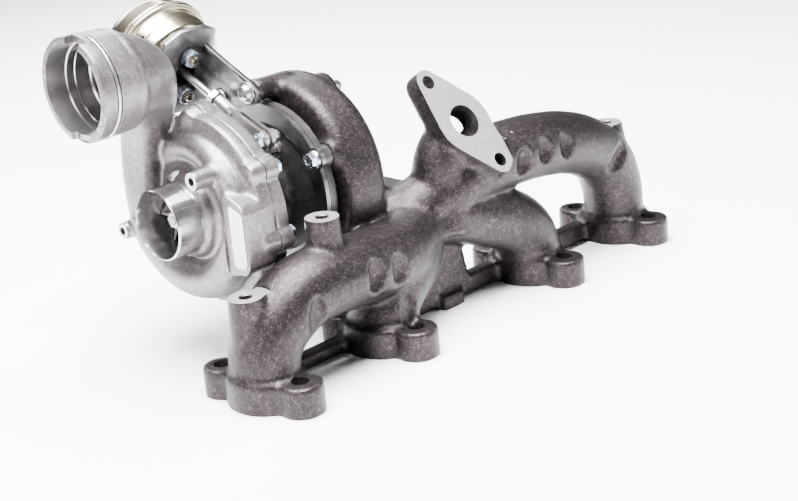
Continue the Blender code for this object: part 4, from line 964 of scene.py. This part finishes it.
hexNut = hexHead("hexNut", 10, 67.4, 72.2, 2.6)
smoothShade(hexNut, 25)
for number, z in enumerate(actuator["studs"], 1):
    copyTo(hexNut, f"actuatorNut{number}", rodFrame @ Matrix.Translation((0, 0, z * mm)), blueZinc,
           f"actuator_nut_{number}")
bpy.data.objects.remove(hexNut)

rodOutline = [(28, 0), (28, 2.3), (91.6, 2.3), (92, 1.9), (92, 0)]
rodPiece = turned("actuatorRod", rounded(rodOutline, 0.2), rodFrame, 64)
dress(smoothShade(rodPiece), turnedSteel, "pull_rod", "actuator_rod")
lockNut = hexHead("lockNut", 9, 42.4, 46.6, 2.35)
settle(lockNut, rodFrame)
dress(smoothShade(lockNut, 25), turnedSteel, "pull_rod", "lock_nut")

# the fork: a round neck, then two prongs that reach the lever pin
fork = {"gap": 1.1, "half": 3.3, "neck": 4.4, "eye": 5.9, "pin": 2.85, "thread": 2.35}
forkOutline = [(26, 0), (26, fork["neck"]), (41, fork["neck"]), (42, 3.6), (42, 0)]
forkPiece = turned("rodFork", rounded(forkOutline, 0.5), rodFrame, 64)
prongs = addPlate("prongs", [(0, -fork["half"], -5.4), (30, -fork["half"], -4.2), (30, -fork["half"], 4.2),
                             (0, -fork["half"], 5.4)], (0, 2 * fork["half"], 0), matrix=rodFrame)
eye = settle(addRod("eye", (0, -fork["half"], 0), (0, fork["half"], 0), fork["eye"]), rodFrame)
slit = addBlock("slit", (-9, -fork["gap"], -9), (22, fork["gap"], 9), matrix=rodFrame)
pinHole = settle(addRod("pinHole", (0, -9, 0), (0, 9, 0), fork["pin"]), rodFrame)
threadHole = settle(addRod("threadHole", (24, 0, 0), (45, 0, 0), fork["thread"]), rodFrame)
carve(forkPiece, [prongs, eye], "UNION")
carve(forkPiece, [slit, pinHole, threadHole])
useModifier(forkPiece, "BEVEL", width=0.3 * mm, segments=2, angle_limit=math.radians(50))
dress(smoothShade(forkPiece), turnedSteel, "pull_rod", "rod_end")

leverNut = hexHead("leverNut", 8, -105.6, -101.4, 2.05)
settle(leverNut, facing((0, pinPlace.y, pinPlace.z)))
dress(smoothShade(leverNut, 25), blueZinc, "lever", "lever_nut")
print("actuator and linkage done")


# rings, clips and small pieces

def ringPlate(name, low, high, radius, ears, earRadius, reach, bore):
    parts = [addRod("ring", about(0, 0, low), about(0, 0, high), radius, sides=128)]
    parts += [addRod("ear", about(angle, reach, low), about(angle, reach, high), earRadius) for angle in ears]
    body = parts[0]
    body.name = name
    carve(body, parts[1:], "UNION")
    cuts = [addRod("bore", about(0, 0, low - 5), about(0, 0, high + 5), bore, sides=128)]
    for angle in ears:
        cuts.append(addRod("hole", about(angle, reach, low - 5), about(angle, reach, high + 5), 3.3))
    carve(body, cuts)
    useModifier(body, "BEVEL", width=0.4 * mm, segments=2, angle_limit=math.radians(50))
    return smoothShade(body)


clampPiece = ringPlate("clampRing", -82.2, -79.3, 49.5, turbine["lugs"], 6.5, 48.5, 39.0)
dress(clampPiece, bracketSteel, "housing", "clamp_ring")
spacerPiece = ringPlate("spacerRing", -78.9, -74.4, 49.5, turbine["lugs"], 6.5, 48.5, 43.4)
dress(spacerPiece, darkIron, "housing", "spacer_ring")

clip = {"wire": 0.9, "circle": 27.7, "x": -193.5}
clipPoints = []
for angle in range(-62, 243, 8):
    a = math.radians(angle)
    clipPoints.append((clip["x"], socketCentre.y + clip["circle"] * math.cos(a),
                       socketCentre.z + clip["circle"] * math.sin(a)))
clipPiece = addPipe("outletClip", clipPoints, (clip["wire"], clip["wire"]), fine=4)
dress(smoothShade(clipPiece), turnedSteel, "housing", "outlet_clip")

labelEdge = [(-53, -18), (-51.6, -20.4), (-44, -21.6), (-42, -20.2), (-42, 12.2), (-43.6, 13.6),
             (-51.6, 10.6), (-53, 8.6)]
labelCorners = [(-146.15, shaft.y + y, shaft.z + z) for y, z in labelEdge]
labelPiece = addPlate("serialLabel", labelCorners, (0.4, 0, 0), 0.12)
dress(smoothShade(labelPiece), paleSticker, "housing", "serial_label")


# the solids whose shape is already right keep it, and take a finish

keptNodes = {turnedSteel: ("crank_shaft", "lever_arm", "lever_pin", "compressor_nut", "thrust_collar",
                           "crank_bush"),
             hotAlloy: ("turbine_wheel", "nozzle_ring", "unison_ring", "heat_shield")
             + tuple(f"vane_{k}" for k in range(1, 10)),
             bearingBronze: ("journal_bearing_1", "journal_bearing_2", "thrust_bearing"),
             castAluminium: ("compressor_wheel",)}
for finish, names in keptNodes.items():
    for name in names:
        for place in nodes[name].material_slots:
            place.material = finish
print("kept nodes finished")


# the stage: a pale floor, soft lights and the camera

def softLight(name, place, size, power):
    pickOnly()
    bpy.ops.object.light_add(type="AREA", location=place)
    lamp = bpy.context.object
    lamp.name = name
    lamp.data.shape = "RECTANGLE"
    lamp.data.size, lamp.data.size_y = size
    lamp.data.energy = power
    lamp.rotation_euler = (Vector(studio["aim"]) - Vector(place)).to_track_quat("-Z", "Y").to_euler()


pickOnly()
bpy.ops.mesh.primitive_plane_add(size=8, location=(0, 0, -0.0002))
floor = bpy.context.object
floor.name = "floor"
floorFinish = Finish("paleFloor", 0.0)
floorTone = floorFinish.blend(floorFinish.noise(0.4), (0.93, 0.93, 0.93, 1), (0.96, 0.96, 0.96, 1))
floorFinish.feed(Base_Color=floorTone, Roughness=0.85)
floor.data.materials.append(floorFinish.material)

# each panel is its place, size and watts, in metres
studio = {"aim": (0, 0.02, 0.1), "world": 0.13, "topPanel": ((-0.2, 0.0, 1.2), (0.9, 0.9), 190),
          "leftPanel": ((-1.1, 0.0, 0.65), (0.4, 0.8), 14), "rightPanel": ((0.8, -0.7, 0.55), (0.25, 0.7), 5),
          "backPanel": ((0.2, 1.0, 0.8), (1.0, 0.4), 26)}
for name in ("topPanel", "leftPanel", "rightPanel", "backPanel"):
    softLight(name, *studio[name])
world = bpy.data.worlds.new("paleRoom")
bpy.context.scene.world = world
world.use_nodes = True
background = world.node_tree.nodes["Background"]
background.inputs["Color"].default_value = (1, 1, 1, 1)
background.inputs["Strength"].default_value = studio["world"]

# metres, millimetres and degrees
view = {"place": (-0.6145, -0.6073, 0.3502), "lens": 68.66, "sensor": 36, "pan": -43.4, "down": 19.86,
        "roll": -5.2}
pickOnly()
bpy.ops.object.camera_add()
camera = bpy.context.object
camera.name = "camera"
camera.data.sensor_width = view["sensor"]
camera.data.lens = view["lens"]
camera.matrix_world = (Matrix.Translation(view["place"]) @ Matrix.Rotation(math.radians(view["pan"]), 4, "Z")
                       @ Matrix.Rotation(math.radians(90 - view["down"]), 4, "X")
                       @ Matrix.Rotation(math.radians(view["roll"]), 4, "Z"))
bpy.context.scene.camera = camera
print("stage set")
